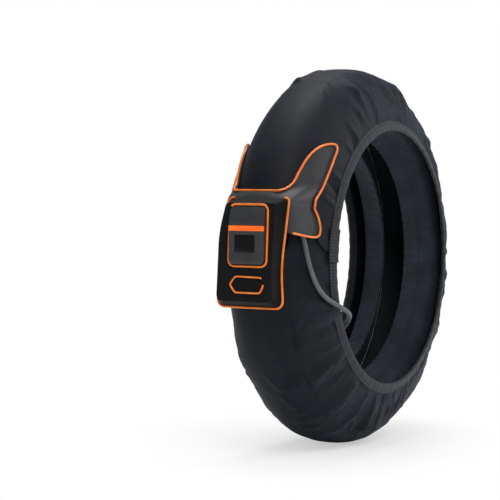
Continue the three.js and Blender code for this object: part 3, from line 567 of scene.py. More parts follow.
MODULE = moulded_plastic("module_plastic", "#16241e", "#1f3029", 0.4, 0.1)
PIN_METAL = brushed_metal("pin_metal", "#b0b3b7", "#c9ccd0")
SCREW_METAL = brushed_metal("screw_metal", "#8d9094", "#a6a9ad")


# Cover: slack folds as on the frame, then the particular folds of the photograph and small creases

# Each fold runs from one (angle, across) to another, with its height and its half width
FOLDS = [
    ((53.8, 0.088), (52.0, 0.0960), -0.0030, 0.006),
    ((58.0, 0.080), (57.0, 0.0960), 0.0035, 0.007),
    ((30.5, 0.0835), (29.0, 0.0940), -0.0036, 0.006),
    ((35.0, 0.0850), (34.0, 0.0950), 0.0032, 0.007),
    ((24.0, 0.0850), (23.0, 0.0940), 0.0026, 0.006),
    ((50.0, 0.0860), (49.0, 0.0950), 0.0026, 0.006),
    ((104.0, 0.060), (98.0, 0.094), 0.0042, 0.006),
    ((110.0, 0.030), (106.0, 0.080), 0.0036, 0.007),
    ((86.0, 0.052), (92.0, 0.072), -0.0030, 0.004),
    ((75.0, 0.040), (71.0, 0.076), 0.0030, 0.007),
    ((-6.0, 0.084), (-12.0, 0.097), -0.0030, 0.006),
    ((-10.0, 0.066), (-17.0, 0.090), 0.0036, 0.008),
    ((-30.0, 0.060), (-34.0, 0.092), 0.0032, 0.006),
    ((-18.0, 0.044), (-21.0, 0.096), 0.0058, 0.011),
    ((-22.5, 0.050), (-26.0, 0.094), -0.0030, 0.008),
    ((-38.0, 0.052), (-39.0, 0.093), 0.0058, 0.011),
    ((-43.5, 0.052), (-46.0, 0.093), -0.0030, 0.008),
    ((-54.0, 0.044), (-56.0, 0.086), 0.0055, 0.011),
    ((-66.0, 0.040), (-69.0, 0.088), 0.0050, 0.010),
    ((95.0, 0.0495), (98.0, 0.089), 0.0050, 0.009),
    ((101.0, 0.050), (104.0, 0.088), -0.0030, 0.008),
    ((80.0, 0.060), (78.0, 0.090), 0.0040, 0.009),
    ((66.0, 0.066), (68.5, 0.092), 0.0036, 0.008),
    ((-80.0, 0.050), (-77.0, 0.090), 0.0045, 0.009),
    ((-30.0, -0.080), (-26.0, -0.094), 0.0035, 0.008),
    ((-50.0, -0.070), (-47.0, -0.092), 0.0045, 0.010),
    ((70.0, -0.066), (66.0, -0.092), 0.0045, 0.009),
]
ARC_RADIUS = 0.3
SMALL_CREASES = 190
SOFT_STOP = 0.0006


def small_creases():
    """Short slanting creases all round, except where the panel keeps the cover flat."""
    chance = np.random.RandomState(11)
    made = []
    for _ in range(SMALL_CREASES):
        angle = chance.uniform(62, 338)
        side = 1 if chance.rand() < 0.6 else -1
        reach = chance.uniform(-0.010, 0.082)
        slant = chance.uniform(-8, 8)
        length = chance.uniform(0.014, 0.034)
        height = chance.uniform(0.0014, 0.0036) * (1 if chance.rand() < 0.55 else -0.9)
        width = chance.uniform(0.0042, 0.0075)
        start = (angle, side * reach)
        end = (angle + slant, side * min(reach + length, 0.094))
        made.append((start, end, height, width))
    return made


FOLDS += small_creases()


def unrolled(angle, across):
    return np.radians(angle) * ARC_RADIUS, section_place(across)


def fold_lift(angle, across):
    along, aside = unrolled(angle, across)
    lift = 0 * along * aside
    for start, end, height, width in FOLDS:
        a0, s0 = unrolled(start[0] % 360, start[1])
        a1, s1 = unrolled(end[0] % 360, end[1])
        length = np.hypot(a1 - a0, s1 - s0)
        share = np.clip(((along - a0) * (a1 - a0) + (aside - s0) * (s1 - s0)) / length**2, 0, 1)
        distance = np.hypot(along - a0 - share * (a1 - a0), aside - s0 - share * (s1 - s0))
        fade = 0.35 + 0.65 * np.sin(np.pi * np.clip(share, 0.12, 0.88))
        lift = lift + height * fade * np.exp(-((distance / width) ** 2))
    return lift


def slack_lift(angle, across):
    """The same slack as the frame's cover, which keeps flat under the panel and the pocket."""
    reach = np.abs(across)
    side = np.where(across < 0, 1.7, 0.0)
    shoulder = np.exp(-(((reach - 0.062) / 0.024) ** 2))
    turn = np.radians(angle)
    waves = 0.5 + 0.3 * np.sin(11 * turn + side) + 0.2 * np.sin(17 * turn + 2 * side + 1)
    tread = 0.25 * (1 + np.sin(7 * turn + across / 0.026))
    front = smoothstep(angle, 58, 72) * (1 - smoothstep(angle, 334, 344))
    lift = front * (0.005 * shoulder * waves + 0.0024 * tread * (1 - shoulder))
    return np.where(reach >= 0.088, 0, lift)


def crease_lift(angle, across):
    """Small creases, longest across the wheel, from smooth noise."""
    along, aside = np.broadcast_arrays(*unrolled(angle, across))
    front = smoothstep(angle, 54, 68) * (1 - smoothstep(angle, 338, 350)) + 0 * across
    reach = np.abs(across) + 0 * angle
    outer = smoothstep(reach, 0.03, 0.08)
    lift = np.zeros(along.shape)
    for place in np.ndindex(along.shape):
        a, s = along[place], aside[place]
        bend = 0.35 * noise.noise(Vector((a * 9, s * 9, 3.1)))
        fine = noise.noise(Vector((a * 42 + bend * 3, s * 13, 7.7)))
        finer = noise.noise(Vector((a * 90 + bend * 4, s * 30, 1.3)))
        ridge = 1 - abs(noise.noise(Vector((a * 30 + s * 24, s * 20 - a * 6, 11.3)))) * 2
        lift[place] = 0.0016 * fine + 0.0008 * finer + 0.0012 * max(0.0, ridge - 0.55)
    return lift * (0.35 + 0.65 * outer) * (0.15 + 0.85 * front)


def hem_ripple(angle, along):
    """Gathers that the hem's elastic makes, deepest at the hem."""
    turn = np.radians(angle)
    waves = 0.55 * np.sin(74 * turn + 1.6 * np.sin(5 * turn)) + 0.35 * np.sin(49 * turn + 2 + np.sin(3 * turn))
    return 0.0006 * waves * smoothstep(along, 0.006, FLAP_LENGTH)


def cover_lift(angle, across):
    along = np.clip((np.abs(across) - SHOULDER_REACH) / (HEM_REACH - SHOULDER_REACH), 0, 1) * FLAP_LENGTH
    lift = slack_lift(angle, across) + fold_lift(angle, across) + crease_lift(angle, across)
    # A crease never sinks into the wadding, which ends at the heated reach
    raised = 0.5 * (lift + np.sqrt(lift**2 + SOFT_STOP**2))
    beyond = smoothstep(np.abs(across), HEATED_REACH + 0.002, HEATED_REACH + 0.008)
    lift = raised + (lift - raised) * beyond
    return lift * (1 - smoothstep(along, 0.018, 0.031)) + hem_ripple(angle, along)


def build_cover():
    edge = flap_point(COVER_EDGE, 0)[0]
    across = section_stations(74, edge)[None, :]
    reach = np.abs(across)
    upper_end = 10.5 - 5.5 * smoothstep(reach, 0.076, 0.090)
    lower_end = LOWER_END + 7.0 * smoothstep(reach, 0.050, 0.056) - 4.0 * smoothstep(reach, 0.0885, 0.0925)
    share = np.linspace(0, 1, 520)[:, None]
    angle = upper_end + (lower_end - upper_end) * share
    upper = 0.0010 * (1 - smoothstep(angle, upper_end + 1, upper_end + 8))
    lower = 0.0022 * smoothstep(angle, LOWER_END - 5, LOWER_END)
    points = cover_point(angle, across, cover_lift(angle, across) + upper - lower)
    return cloth("cover_cloth", points, COVER_THICKNESS, NYLON, "cover_fabric", ["outer_cover"])


def build_hems():
    start = FLAP_LENGTH - BINDING_WIDTH
    end = FLAP_LENGTH
    section = [
        (start, BINDING_TOP - 0.0009), (start + 0.0006, BINDING_TOP), (start + 0.0030, BINDING_TOP),
        (start + 0.0040, BINDING_TOP - 0.0003), (start + 0.0050, BINDING_TOP), (end - 0.006, BINDING_TOP + 0.0003),
        (end - 0.0025, BINDING_TOP), (end - 0.0007, BINDING_TOP - 0.0008), (end, -0.0011),
        (end - 0.0007, BINDING_BOTTOM + 0.0008), (end - 0.0025, BINDING_BOTTOM), (end - 0.006, BINDING_BOTTOM),
        (start + 0.004, BINDING_BOTTOM + 0.0002), (start, BINDING_BOTTOM + 0.0006),
    ]
    along = np.array([place for place, _ in section])[None, :]
    depth = np.array([lift for _, lift in section])[None, :]
    angle = np.linspace(UPPER_END, 360 + UPPER_END - BINDING_GAP, 720)[:, None]
    elastic_along = np.linspace(end - ELASTIC_END - ELASTIC_WIDTH, end - ELASTIC_END, 4)[None, :]
    pieces = []
    for name, side in (("near", 1), ("far", -1)):
        across, radius = flap_point(elastic_along, ELASTIC_DEPTH + hem_ripple(angle, elastic_along))
        points = wheel_point(angle, side * across, radius)
        cloth(
            f"{name}_elastic_tape", points, 0.0008, ELASTIC, "elastic", [f"{name}_hem_elastic"], outwards=side > 0
        )
        across, radius = flap_point(along, depth + hem_ripple(angle, along))
        points = wheel_point(angle, side * across, radius)
        replaced = [f"{name}_hem_binding"]
        pieces.append(
            cloth(f"{name}_binding_tape", points, 0.0009, TAPE, "binding_tape", replaced, outwards=side > 0)
        )
    tab_start = FLAP_LENGTH - 0.0195
    tab_along = np.linspace(tab_start, FLAP_LENGTH - 0.0002, 12)[None, :]
    tab_angle = np.linspace(0.6, 14.4, 30)[:, None]
    rounded = 0.0008 * (smoothstep(tab_along, tab_start, FLAP_LENGTH - 0.016) - 1)
    across, radius = flap_point(tab_along, 0.0034 + rounded + hem_ripple(tab_angle, tab_along))
    tab = wheel_point(tab_angle, across, radius)
    pieces.append(cloth("closing_tab", tab, 0.0016, TAPE, "binding_tape", ["hem_tab"]))
    return pieces


# Layers inside


def wadding_bottom(across):
    share = np.minimum(np.abs(across) / HEATED_REACH, 1)
    return -COVER_THICKNESS - CLEARANCE - WADDING_THICKNESS - (WADDING_EDGE - WADDING_THICKNESS) * share**2


def build_lining():
    angle = np.linspace(HEATED_START, HEATED_END, 300)[:, None]
    across = np.linspace(-HEATED_REACH, HEATED_REACH, 40)[None, :]
    cells = np.abs(np.sin(np.pi * (angle - HEATED_START) / 9)) ** 0.5
    quilting = 0.0006 * cells * np.cos(across / HEATED_REACH * 1.4)
    depth = wadding_bottom(across) - WIRE_SPACE - LINING_THICKNESS - quilting
    points = cover_point(angle, across, depth)
    cloth("lining_sheet", points, LINING_THICKNESS, LINING, "lining_fabric", ["inner_lining"], outwards=False)


def gathers(angle, depth):
    """Fine uneven gathers, as a lift towards the axle."""
    turn = np.radians(angle)
    phase = 80 * turn + 1.4 * np.sin(6 * turn) + 0.8 * np.sin(11 * turn + 1)
    return depth * (0.5 + 0.35 * np.sin(phase) + 0.15 * np.sin(2.3 * phase + 1))


def build_skirts():
    edge = wadding_bottom(np.array(HEATED_REACH)) - WIRE_SPACE - LINING_THICKNESS / 2
    sideways, outward = cover_normal(np.array(HEATED_REACH))
    beside = 0.0009
    start = (
        HEATED_REACH + sideways * edge + outward * beside,
        cover_radius(HEATED_REACH) + outward * edge - sideways * beside,
    )
    line = [start, (0.068, 0.268), (0.074, 0.248), (0.066, 0.2305), (SEAM_REACH, SEAM_RADIUS)]
    smooth_line = catmull([(across, radius, 0) for across, radius in line], 9)
    across = np.array([p.x for p in smooth_line])[None, :]
    radius = np.array([p.y for p in smooth_line])[None, :]
    share = np.linspace(0, 1, across.shape[1])[None, :]
    angle = np.linspace(UPPER_END, LOWER_END - 2, 640)[:, None]
    skirt_ripple = gathers(angle, 0.0022) * smoothstep(share, 0.45, 1.0)

    along = np.linspace(0.02, 1, 14)[None, :]
    band_across = SEAM_REACH + (GATHER_REACH - SEAM_REACH) * along
    band_radius = SEAM_RADIUS + (GATHER_RADIUS - SEAM_RADIUS) * along
    band_ripple = gathers(angle, GATHER_DEPTH) * (0.4 + 0.6 * along)
    for name, side in (("near", 1), ("far", -1)):
        finish = (SKIRT_THICKNESS, SKIRT, "skirt_fabric")
        points = wheel_point(angle, side * across, radius - skirt_ripple)
        cloth(f"{name}_skirt_cloth", points, *finish, [f"{name}_inner_skirt"], outwards=side < 0)
        points = wheel_point(angle, side * band_across, band_radius - band_ripple - SKIRT_THICKNESS / 2)
        cloth(f"{name}_gathered_band", points, *finish, [f"{name}_rim_gather"], outwards=side < 0)


# Winged panel: half outline from the middle of its upper edge down to the pocket
WING_EDGE = [
    (0.036, 0.1175), (0.0435, 0.1205), (0.0488, 0.131), (0.0524, 0.149), (0.0584, 0.175), (0.0655, 0.1875),
    (0.0715, 0.1915), (0.0765, 0.191), (0.0794, 0.184), (0.080, 0.170), (0.080, 0.153), (0.0784, 0.125),
    (0.0768, 0.104), (0.0768, 0.090), (0.0796, 0.072), (0.0816, 0.055), (0.0806, 0.046), (0.078, 0.0442),
    (0.068, 0.0515), (0.060, 0.0555), (0.052, 0.057),
]


def pocket_back_reach(height):
    return POCKET_BACK - height * math.tan(math.radians(POCKET_LEAN))


def panel_point(height, across, lift):
    """The panel leaves the cover where the flat pocket holds it away, and lies down towards its outer edge."""
    point = cover_point_at_height(height, across, lift)
    beside = np.where(across < 0, FAR_LIES_DOWN - across, across)
    fade_across = 1 - smoothstep(beside, 0.062, 0.081)
    fade_up = 1 - smoothstep(height, POCKET_TOP - 0.008, POCKET_TOP + 0.022)
    on_cover = cover_point_at_height(height, across, PANEL_LIFT + PANEL_THICKNESS)[..., 0]
    wanted = pocket_back_reach(np.minimum(height, POCKET_TOP)) + 0 * across
    point[..., 0] -= np.maximum(0, wanted + on_cover) * fade_across * fade_up
    slope = (0.096 - 0.104) / (0.076 - 0.062)
    from_fold = height - (0.104 + slope * (np.abs(across) - 0.062))
    on_wing = smoothstep(np.abs(across), 0.060, 0.066)
    humps = 0.0016 * np.exp(-(((np.abs(from_fold) - 0.007) / 0.0045) ** 2))
    groove = 0.0010
    fold = humps - groove * np.exp(-((from_fold / 0.0025) ** 2))
    point[..., 0] -= (fold + groove) * on_wing
    return point


def wing_line():
    return [(p.x, p.y) for p in catmull([(a, b, 0) for a, b in WING_EDGE], 6)]


def build_panel():
    half = wing_line()
    outline = half + [(-a, b) for a, b in reversed(half)]
    height = np.linspace(0.040, 0.196, 96)[:, None]
    across = np.linspace(-0.0835, 0.0835, 104)[None, :]
    points = panel_point(height, across, PANEL_LIFT + PANEL_THICKNESS)
    panel = new_piece("panel_leatherette", grid_mesh("panel_leatherette", points), LEATHERETTE)
    apply_modifier(panel, "SOLIDIFY", thickness=PANEL_THICKNESS, offset=-1, use_even_offset=False)

    shape = bmesh.new()
    rings = [[shape.verts.new((reach, -a, b)) for a, b in outline] for reach in (-0.40, -0.10)]
    shape.faces.new(rings[0])
    shape.faces.new(list(reversed(rings[1])))
    for i in range(len(outline)):
        j = (i + 1) % len(outline)
        shape.faces.new([rings[0][j], rings[0][i], rings[1][i], rings[1][j]])
    bmesh.ops.recalc_face_normals(shape, faces=shape.faces)
    data = bpy.data.meshes.new("panel_outline")
    shape.to_mesh(data)
    shape.free()
    cutter = bpy.data.objects.new("panel_outline", data)
    bpy.context.scene.collection.objects.link(cutter)
    apply_modifier(panel, "BOOLEAN", operation="INTERSECT", object=cutter, solver="EXACT")
    bpy.data.objects.remove(cutter)
    shade_smooth(panel)
    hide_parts("wing_panel")

    lift = PANEL_LIFT + PANEL_THICKNESS + PIPING_RADIUS + 0.001
    free = [(a, b) for a, b in half if b > POCKET_TOP or a > POCKET_NEAR + 0.006]
    near = [panel_point(np.array(b), np.array(a), lift) for a, b in free]
    far = [panel_point(np.array(b), np.array(-a), lift) for a, b in free]
    line = [Vector(p) for p in [*reversed(near), *far]]
    tube("panel_edge_piping", line, PIPING_RADIUS, PIPING, ["panel_piping"])
    return panel


# Pocket, in its own leaning plane


def pocket_point(reach, across, height):
    lean = math.radians(POCKET_LEAN)
    x = -reach * math.cos(lean) + height * math.sin(lean) - POCKET_BACK
    z = reach * math.sin(lean) + height * math.cos(lean)
    return Vector((x, -across, z))


def rounded_outline(corners, radius, divisions):
    """Outline with each corner rounded: a corner is (across, height) or has its own radius as a third value."""
    points = []
    count = len(corners)
    for i, corner in enumerate(corners):
        place = Vector(corner[:2])
        own = corner[2] if len(corner) > 2 else radius
        before = (Vector(corners[i - 1][:2]) - place).normalized() * own
        after = (Vector(corners[(i + 1) % count][:2]) - place).normalized() * own
        for step in range(divisions + 1):
            t = step / divisions
            points.append(place + before * (1 - t) ** 2 + after * t**2)
    return points


# A rounded corner of an outline has this many points
CORNER_POINTS = 9

# Corners of the pouch at its back and at its front face, each with its rounding
POUCH_BACK = [
    (-0.057, -0.066, 0.014), (0.0616, -0.066, 0.014), (0.0550, -0.002, 0.028), (0.0680, 0.1075, 0.006),
    (-0.040, 0.1075, 0.008), (-0.056, 0.056, 0.025),
]
POUCH_FRONT = [
    (-0.049, -0.057, 0.011), (0.0515, -0.057, 0.011), (0.0487, 0.000, 0.024), (0.0530, 0.0985, 0.005),
    (-0.036, 0.0985, 0.007), (-0.0475, 0.050, 0.022),
]


def pocket_outline(share, grow=0.0, divisions=8):
    corners = []
    for back, front in zip(POUCH_BACK, POUCH_FRONT):
        a, b, radius = (low + (high - low) * share for low, high in zip(back, front))
        corners.append((a + math.copysign(grow, a), b + math.copysign(grow, b), radius + grow))
    return rounded_outline(corners, 0.010, divisions)


def window_outline(grow, divisions=8):
    half = CONTROLLER_WIDTH / 2 + grow
    far, near = CONTROLLER_MIDDLE - half, CONTROLLER_MIDDLE + half
    bottom, top = CONTROLLER_BOTTOM - grow, CONTROLLER_BOTTOM + CONTROLLER_HEIGHT + grow
    return rounded_outline([(far, bottom), (near, bottom), (near, top), (far, top)], 0.009 + grow, divisions)


def resampled(outline, count):
    """Evenly spaced points round a closed outline, starting at its first point."""
    closed = outline + [outline[0]]
    lengths = [0.0]
    for a, b in zip(closed, closed[1:]):
        lengths.append(lengths[-1] + (b - a).length)
    marks = np.linspace(0, lengths[-1], count, endpoint=False)
    xs = np.interp(marks, lengths, [p.x for p in closed])
    ys = np.interp(marks, lengths, [p.y for p in closed])
    return np.stack([xs, ys], -1)


def build_pocket():
    count = 200
    rings = []
    for reach in (0.0003, 0.003, 0.007, 0.011, 0.015, 0.019, 0.0215):
        rings.append((resampled(pocket_outline(reach / POCKET_DEPTH), count), reach))
    front = resampled(pocket_outline(1, -0.0004), count)
    window = resampled(window_outline(0.0008), count)
    rings.append((front, POCKET_DEPTH - 0.0003))
    for share in np.linspace(0.05, 1, 16):
        rings.append((front * (1 - share) + window * share, POCKET_DEPTH))
    points = np.zeros((len(rings), count + 1, 3))
    for i, (ring, reach) in enumerate(rings):
        for j in range(count + 1):
            across, height = ring[j % count]
            side = smoothstep(reach, 0.002, 0.008) * (1 - smoothstep(reach, 0.0215, 0.023))
            puff = 0.0012 * side * noise.noise(Vector((across * 60, height * 60, reach * 90)))
            face = smoothstep(reach, 0.0225, 0.023)
            dent = 0.0007 * face * noise.noise(Vector((across * 45, height * 38, 5.0)))
            points[i, j] = pocket_point(reach + dent + puff, across * (1 + puff * 8), height)
    mesh = grid_mesh("pocket_softshell", np.transpose(points[:, ::-1], (1, 0, 2)))
    piece = new_piece("pocket_softshell", mesh, SOFTSHELL)
    weld = bmesh.new()
    weld.from_mesh(piece.data)
    bmesh.ops.remove_doubles(weld, verts=weld.verts, dist=1e-6)
    weld.to_mesh(piece.data)
    weld.free()
    apply_modifier(piece, "SOLIDIFY", thickness=POCKET_WALL, offset=-1, use_even_offset=False)
    shade_smooth(piece, 60)
    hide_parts("pocket_pouch")

    reach = PIPING_RADIUS + 0.002
    edge = pocket_outline(reach / POCKET_DEPTH, PIPING_RADIUS + CLEARANCE)
    start = 4 * CORNER_POINTS
    line = [pocket_point(reach, p.x, p.y) for p in edge[start:] + edge[:start]]
    tube("pocket_edge_piping", line, PIPING_RADIUS, PIPING, ["pocket_piping"])
    return piece


def patch_outline(divisions=8):
    return rounded_outline(
        [
            (-0.024, -0.0305), (-0.014, -0.0175), (0.033, -0.0185),
            (0.037, -0.0305), (0.031, -0.043), (-0.014, -0.043),
        ],
        0.004, divisions,
    )


def build_pipings():
    lift = POCKET_DEPTH + PIPING_RADIUS + CLEARANCE
    around = window_outline(PIPING_RADIUS + 0.001)
    starts = range(0, 4 * CORNER_POINTS, CORNER_POINTS)
    far_bottom, near_bottom, near_top, far_top = (around[i : i + CORNER_POINTS] for i in starts)
    open_end = Vector((far_bottom[0].x, WINDOW_PIPING_END))
    outline = [open_end, *far_bottom, *near_bottom, *near_top, *far_top[:5]]
    window = [pocket_point(lift, p.x, p.y) for p in outline]
    tube("window_edge_piping", window, PIPING_RADIUS, PIPING, ["window_piping"])
    around = patch_outline()
    first = 3 * CORNER_POINTS + 3
    outline = around[first:] + around[: first - 6]
    patch = [pocket_point(lift, p.x, p.y) for p in outline]
    tube("patch_edge_piping", patch, PIPING_RADIUS - 0.0003, PIPING, ["patch_piping"])


def stitches(name, line, spacing, radius, material):
    """Row of single stitches along a line of points, as short threads with gaps between them."""
    curve = bpy.data.curves.new(name, "CURVE")
    curve.dimensions = "3D"
    curve.bevel_depth = radius
    curve.bevel_resolution = 1
    curve.use_fill_caps = True
    lengths = [0.0]
    for a, b in zip(line, line[1:]):
        lengths.append(lengths[-1] + (Vector(b) - Vector(a)).length)
    places = np.array([tuple(p) for p in line])
    start = 0.0
    while start + spacing < lengths[-1]:
        spline = curve.splines.new("POLY")
        spline.points.add(2)
        for point, share in zip(spline.points, (0.1, 0.4, 0.7)):
            mark = start + spacing * share
            point.co = (*(np.interp(mark, lengths, places[:, k]) for k in range(3)), 1)
        start += spacing
    piece = bpy.data.objects.new(name, curve)
    bpy.context.scene.collection.objects.link(piece)
    curve.materials.append(material)
    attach(piece, "root")
    return piece


def build_stitches():
    angle = np.linspace(UPPER_END + 1, LOWER_END - 1, 700)
    along = FLAP_LENGTH - BINDING_WIDTH + 0.0042
    for name, side in (("near", 1), ("far", -1)):
        across, radius = flap_point(along, BINDING_TOP + hem_ripple(angle, along))
        line = wheel_point(angle, side * across, radius)
        stitches(f"{name}_hem_stitches", line, 0.0035, THREAD_RADIUS, THREAD)
    darts = (("pocket_dart_near", 0.0455, 0.0415), ("pocket_dart_inner", 0.0425, 0.0385))
    for name, across_top, across_bottom in darts:
        top = pocket_point(POCKET_DEPTH + THREAD_RADIUS, across_top, 0.090)
        bottom = pocket_point(POCKET_DEPTH + THREAD_RADIUS, across_bottom, 0.016)
        line = [top.lerp(bottom, step / 30) for step in range(31)]
        stitches(name, line, 0.003, THREAD_RADIUS, THREAD)


def build_controller():
    softened("case_front", "controller_front_shell", 0.0006, CASE, limit=25)
    softened("case_back", "controller_back_shell", 0.0008, CASE_BACK)
    softened("lit_status_bar", "status_bar", 0.0006, BAR, 3)
    softened("display_pane", "display_window", 0.0004, GLASS, 3)


# Cable: straight out of its boot, over the near hem, inside the ring, over the far hem and down
BOOT_START_HEIGHT = 0.080
BOOT_START_ACROSS = 0.053
BOOT_END_HEIGHT = 0.050
BOOT_END_ACROSS = 0.0655
COIL_MIDDLE = (0.1719, 0.0843)
COIL_OUTER = 0.056
COIL_INNER = 0.040
COIL_LOW = FLOOR_LEVEL + 0.0058
COIL_HIGH = FLOOR_LEVEL + 0.0138
PLUG_TAIL = (0.180, 0.1412, FLOOR_LEVEL + 0.012)


def place_on_cover(angle, across, lift):
    return Vector(cover_point(np.array(angle), np.array(across), lift))


def place_on_wheel(angle, across, radius):
    return Vector(wheel_point(np.array(angle), np.array(across), np.array(radius)))


def cable_route():
    boot_start = Vector(cover_point_at_height(np.array(BOOT_START_HEIGHT), np.array(BOOT_START_ACROSS), 0.0071))
    boot_end = Vector(cover_point_at_height(np.array(BOOT_END_HEIGHT), np.array(BOOT_END_ACROSS), 0.0055))
    return [
        boot_end + (boot_end - boot_start).normalized() * 0.0015,
        place_on_cover(4.6, 0.0705, 0.0049),
        place_on_cover(-0.8, 0.0743, 0.0049),
        place_on_cover(-4.7, 0.0776, 0.0049),
        place_on_cover(-8.7, 0.0815, 0.0049),
        place_on_cover(-13, 0.087, 0.0054),
        place_on_cover(-17, 0.0935, 0.0066),
        place_on_wheel(-21, 0.103, 0.214),
        place_on_wheel(-25.5, 0.101, 0.200),
        place_on_wheel(-31, 0.089, 0.191),
        place_on_wheel(-37.5, 0.070, 0.190),
        place_on_wheel(-45, 0.047, 0.194),
        place_on_wheel(-52, 0.023, 0.199),
        place_on_wheel(-58, 0, 0.2005),
        place_on_wheel(-64, -0.022, 0.201),
        place_on_wheel(-70, -0.043, 0.210),
        place_on_wheel(-76.5, -0.061, 0.220),
        place_on_wheel(-84, -0.074, 0.229),
        Vector((-0.006, 0.078, -0.230)),
        Vector((0.0119, 0.0803, -0.230)),
        Vector((0.0242, 0.0834, -0.2277)),
        Vector((0.036, 0.0866, -0.2195)),
        Vector((0.042, 0.0888, -0.213)),
        Vector((0.0539, 0.0936, -0.2048)),
        Vector((0.066, 0.0985, -0.2025)),
        Vector((0.0777, 0.1035, -0.2048)),
        Vector((0.0895, 0.1084, -0.213)),
        Vector((0.0964, 0.1114, -0.2241)),
        Vector((0.0995, 0.1125, -0.2385)),
        Vector((0.103, 0.1115, -0.258)),
        Vector((0.108, 0.1098, -0.282)),
        Vector((0.113, 0.1124, -0.303)),
        Vector((0.1248, 0.1201, -0.317)),
        Vector((0.1405, 0.1308, FLOOR_LEVEL + CABLE_RADIUS + 0.0004)),
    ]


def coil_turns(start_angle, turns, per_turn=40):
    """Turns that wind inwards on the floor, climb, and wind outwards on top, leaving towards the plug."""
    climb_from, climb_to = 2.0, 2.2
    points = []
    for step in range(1, round(turns * per_turn) + 1):
        turn = step / per_turn
        if turn <= climb_from:
            radius = COIL_OUTER - (COIL_OUTER - COIL_INNER) * turn / climb_from
        else:
            radius = COIL_INNER + 0.017 * max(0.0, turn - climb_to) / (turns - climb_to)
        rise = float(smoothstep(turn, climb_from, climb_to))
        dip = 0.0012 * math.sin(math.pi * rise)
        ground = FLOOR_LEVEL + CABLE_RADIUS + 0.0004
        low = ground + (COIL_LOW - ground) * min(1.0, turn * 3)
        angle = math.radians(start_angle - 360 * turn)
        points.append(Vector((
            COIL_MIDDLE[0] + (radius - dip) * math.cos(angle),
            COIL_MIDDLE[1] + (radius - dip) * math.sin(angle),
            low + (COIL_HIGH - low) * rise,
        )))
    return points


def build_cable():
    route = cable_route()
    free_run = catmull(route, 6)
    end = route[-1]
    start_angle = math.degrees(math.atan2(end.y - COIL_MIDDLE[1], end.x - COIL_MIDDLE[0]))
    turns = 4 + (start_angle - 90) / 360
    tail = Vector(PLUG_TAIL)
    line = [*free_run, *coil_turns(start_angle, turns), tail]
    cable = tube("mains_cable", line, CABLE_RADIUS, CABLE, ["power_cable", "cable_coil"], sides=4)
    return cable, line


def dress(node, material):
    """Gives a CAD node that stays its own material."""
    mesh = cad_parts[node].data
    mesh.materials.clear()
    mesh.materials.append(material)


CAD_MATERIALS = {
    NYLON: ["closure_tongue"],
    WADDING: ["insulation_wadding"],
    WIRE: ["heating_wire"],
    ELASTIC: ["near_gather_elastic", "far_gather_elastic"],
    HOOKS: ["hook_tape"],
    LOOPS: ["loop_tape"],
    PATCH: ["patch"],
    SOFTSHELL: ["pocket_back"],
    CABLE: ["controller_lead"],
    RUBBER: ["heater_lead", "cable_boot", "cable_tie", "plug_body"],
    SENSOR: ["temperature_sensor"],
    MODULE: ["display_module"],
    BOARD: ["circuit_board"],
    PIN_METAL: ["near_plug_pin", "far_plug_pin"],
    SCREW_METAL: ["lower_near_screw", "upper_near_screw", "lower_far_screw", "upper_far_screw"],
}


# Floor, backdrop and lights


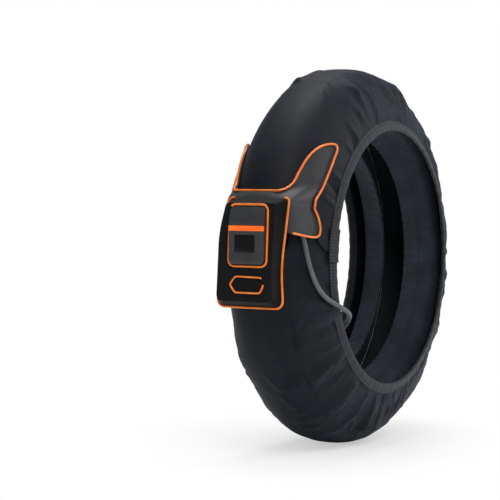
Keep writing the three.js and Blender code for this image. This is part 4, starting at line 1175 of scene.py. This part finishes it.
def white_stage():
    """Pale matt floor of a photographer's table, which runs into pure white away from the object."""
    made, tree, shader = start_material("white_stage", Roughness=0.9)
    place = coordinates(tree, "Object")
    tree.links.new(varied_color(tree, place, 4.0, "#f7f7f7", "#fbfbfb"), shader.inputs["Base Color"])
    white = add(tree, "ShaderNodeEmission", {"Color": (1, 1, 1, 1), "Strength": 1.0})
    distance = add(tree, "ShaderNodeVectorMath", {0: place}, operation="LENGTH")
    away = add(tree, "ShaderNodeMapRange", {
        "Value": distance.outputs["Value"], "From Min": 0.0, "From Max": 0.42, "To Min": 0.45, "To Max": 1.0,
    })
    rays = add(tree, "ShaderNodeLightPath")
    factors = {0: away.outputs["Result"], 1: rays.outputs["Is Camera Ray"]}
    share = add(tree, "ShaderNodeMath", factors, operation="MULTIPLY")
    mixed = add(tree, "ShaderNodeMixShader", {
        "Fac": share.outputs[0], 1: shader.outputs[0], 2: white.outputs[0],
    })
    tree.links.new(mixed.outputs[0], tree.nodes["Material Output"].inputs["Surface"])
    return made


def add_light(name, place, aim, size, power):
    data = bpy.data.lights.new(name, "AREA")
    data.shape = "DISK"
    data.size = size
    data.energy = power
    light = bpy.data.objects.new(name, data)
    light.location = place
    light.rotation_euler = (Vector(aim) - Vector(place)).to_track_quat("-Z", "Y").to_euler()
    bpy.context.scene.collection.objects.link(light)


def build_stage():
    bpy.ops.mesh.primitive_plane_add(size=30, location=(0, 0, FLOOR_LEVEL))
    floor = bpy.context.object
    floor.name = "floor"
    floor.data.materials.append(white_stage())
    add_light("key", (-2.2, -2.0, 2.6), (0, 0, 0), 1.8, 52)
    add_light("top", (0.6, 0.3, 3.0), (0, 0, 0.2), 1.6, 60)
    add_light("rim", (2.0, -2.2, 1.2), (0, 0, 0), 1.2, 30)

    world = bpy.data.worlds.new("studio")
    world.use_nodes = True
    bpy.context.scene.world = world
    tree = world.node_tree
    surface = tree.nodes["Background"]
    surface.inputs["Color"].default_value = (1, 1, 1, 1)
    surface.inputs["Strength"].default_value = 0.36
    backdrop = add(tree, "ShaderNodeBackground", {"Color": (1, 1, 1, 1), "Strength": 1.0})
    rays = add(tree, "ShaderNodeLightPath")
    chosen = add(tree, "ShaderNodeMixShader", {
        "Fac": rays.outputs["Is Camera Ray"], 1: surface.outputs[0], 2: backdrop.outputs[0],
    })
    tree.links.new(chosen.outputs[0], tree.nodes["World Output"].inputs["Surface"])
    bpy.context.scene.view_settings.view_transform = "Standard"


bpy.ops.object.select_all(action="DESELECT")
cable_piece, cable_line = build_cable()
cover = build_cover()
bindings = build_hems()
build_lining()
build_skirts()
panel = build_panel()
pocket = build_pocket()
build_pipings()
build_controller()
build_stitches()
for material, nodes in CAD_MATERIALS.items():
    for node in nodes:
        dress(node, material)
build_stage()
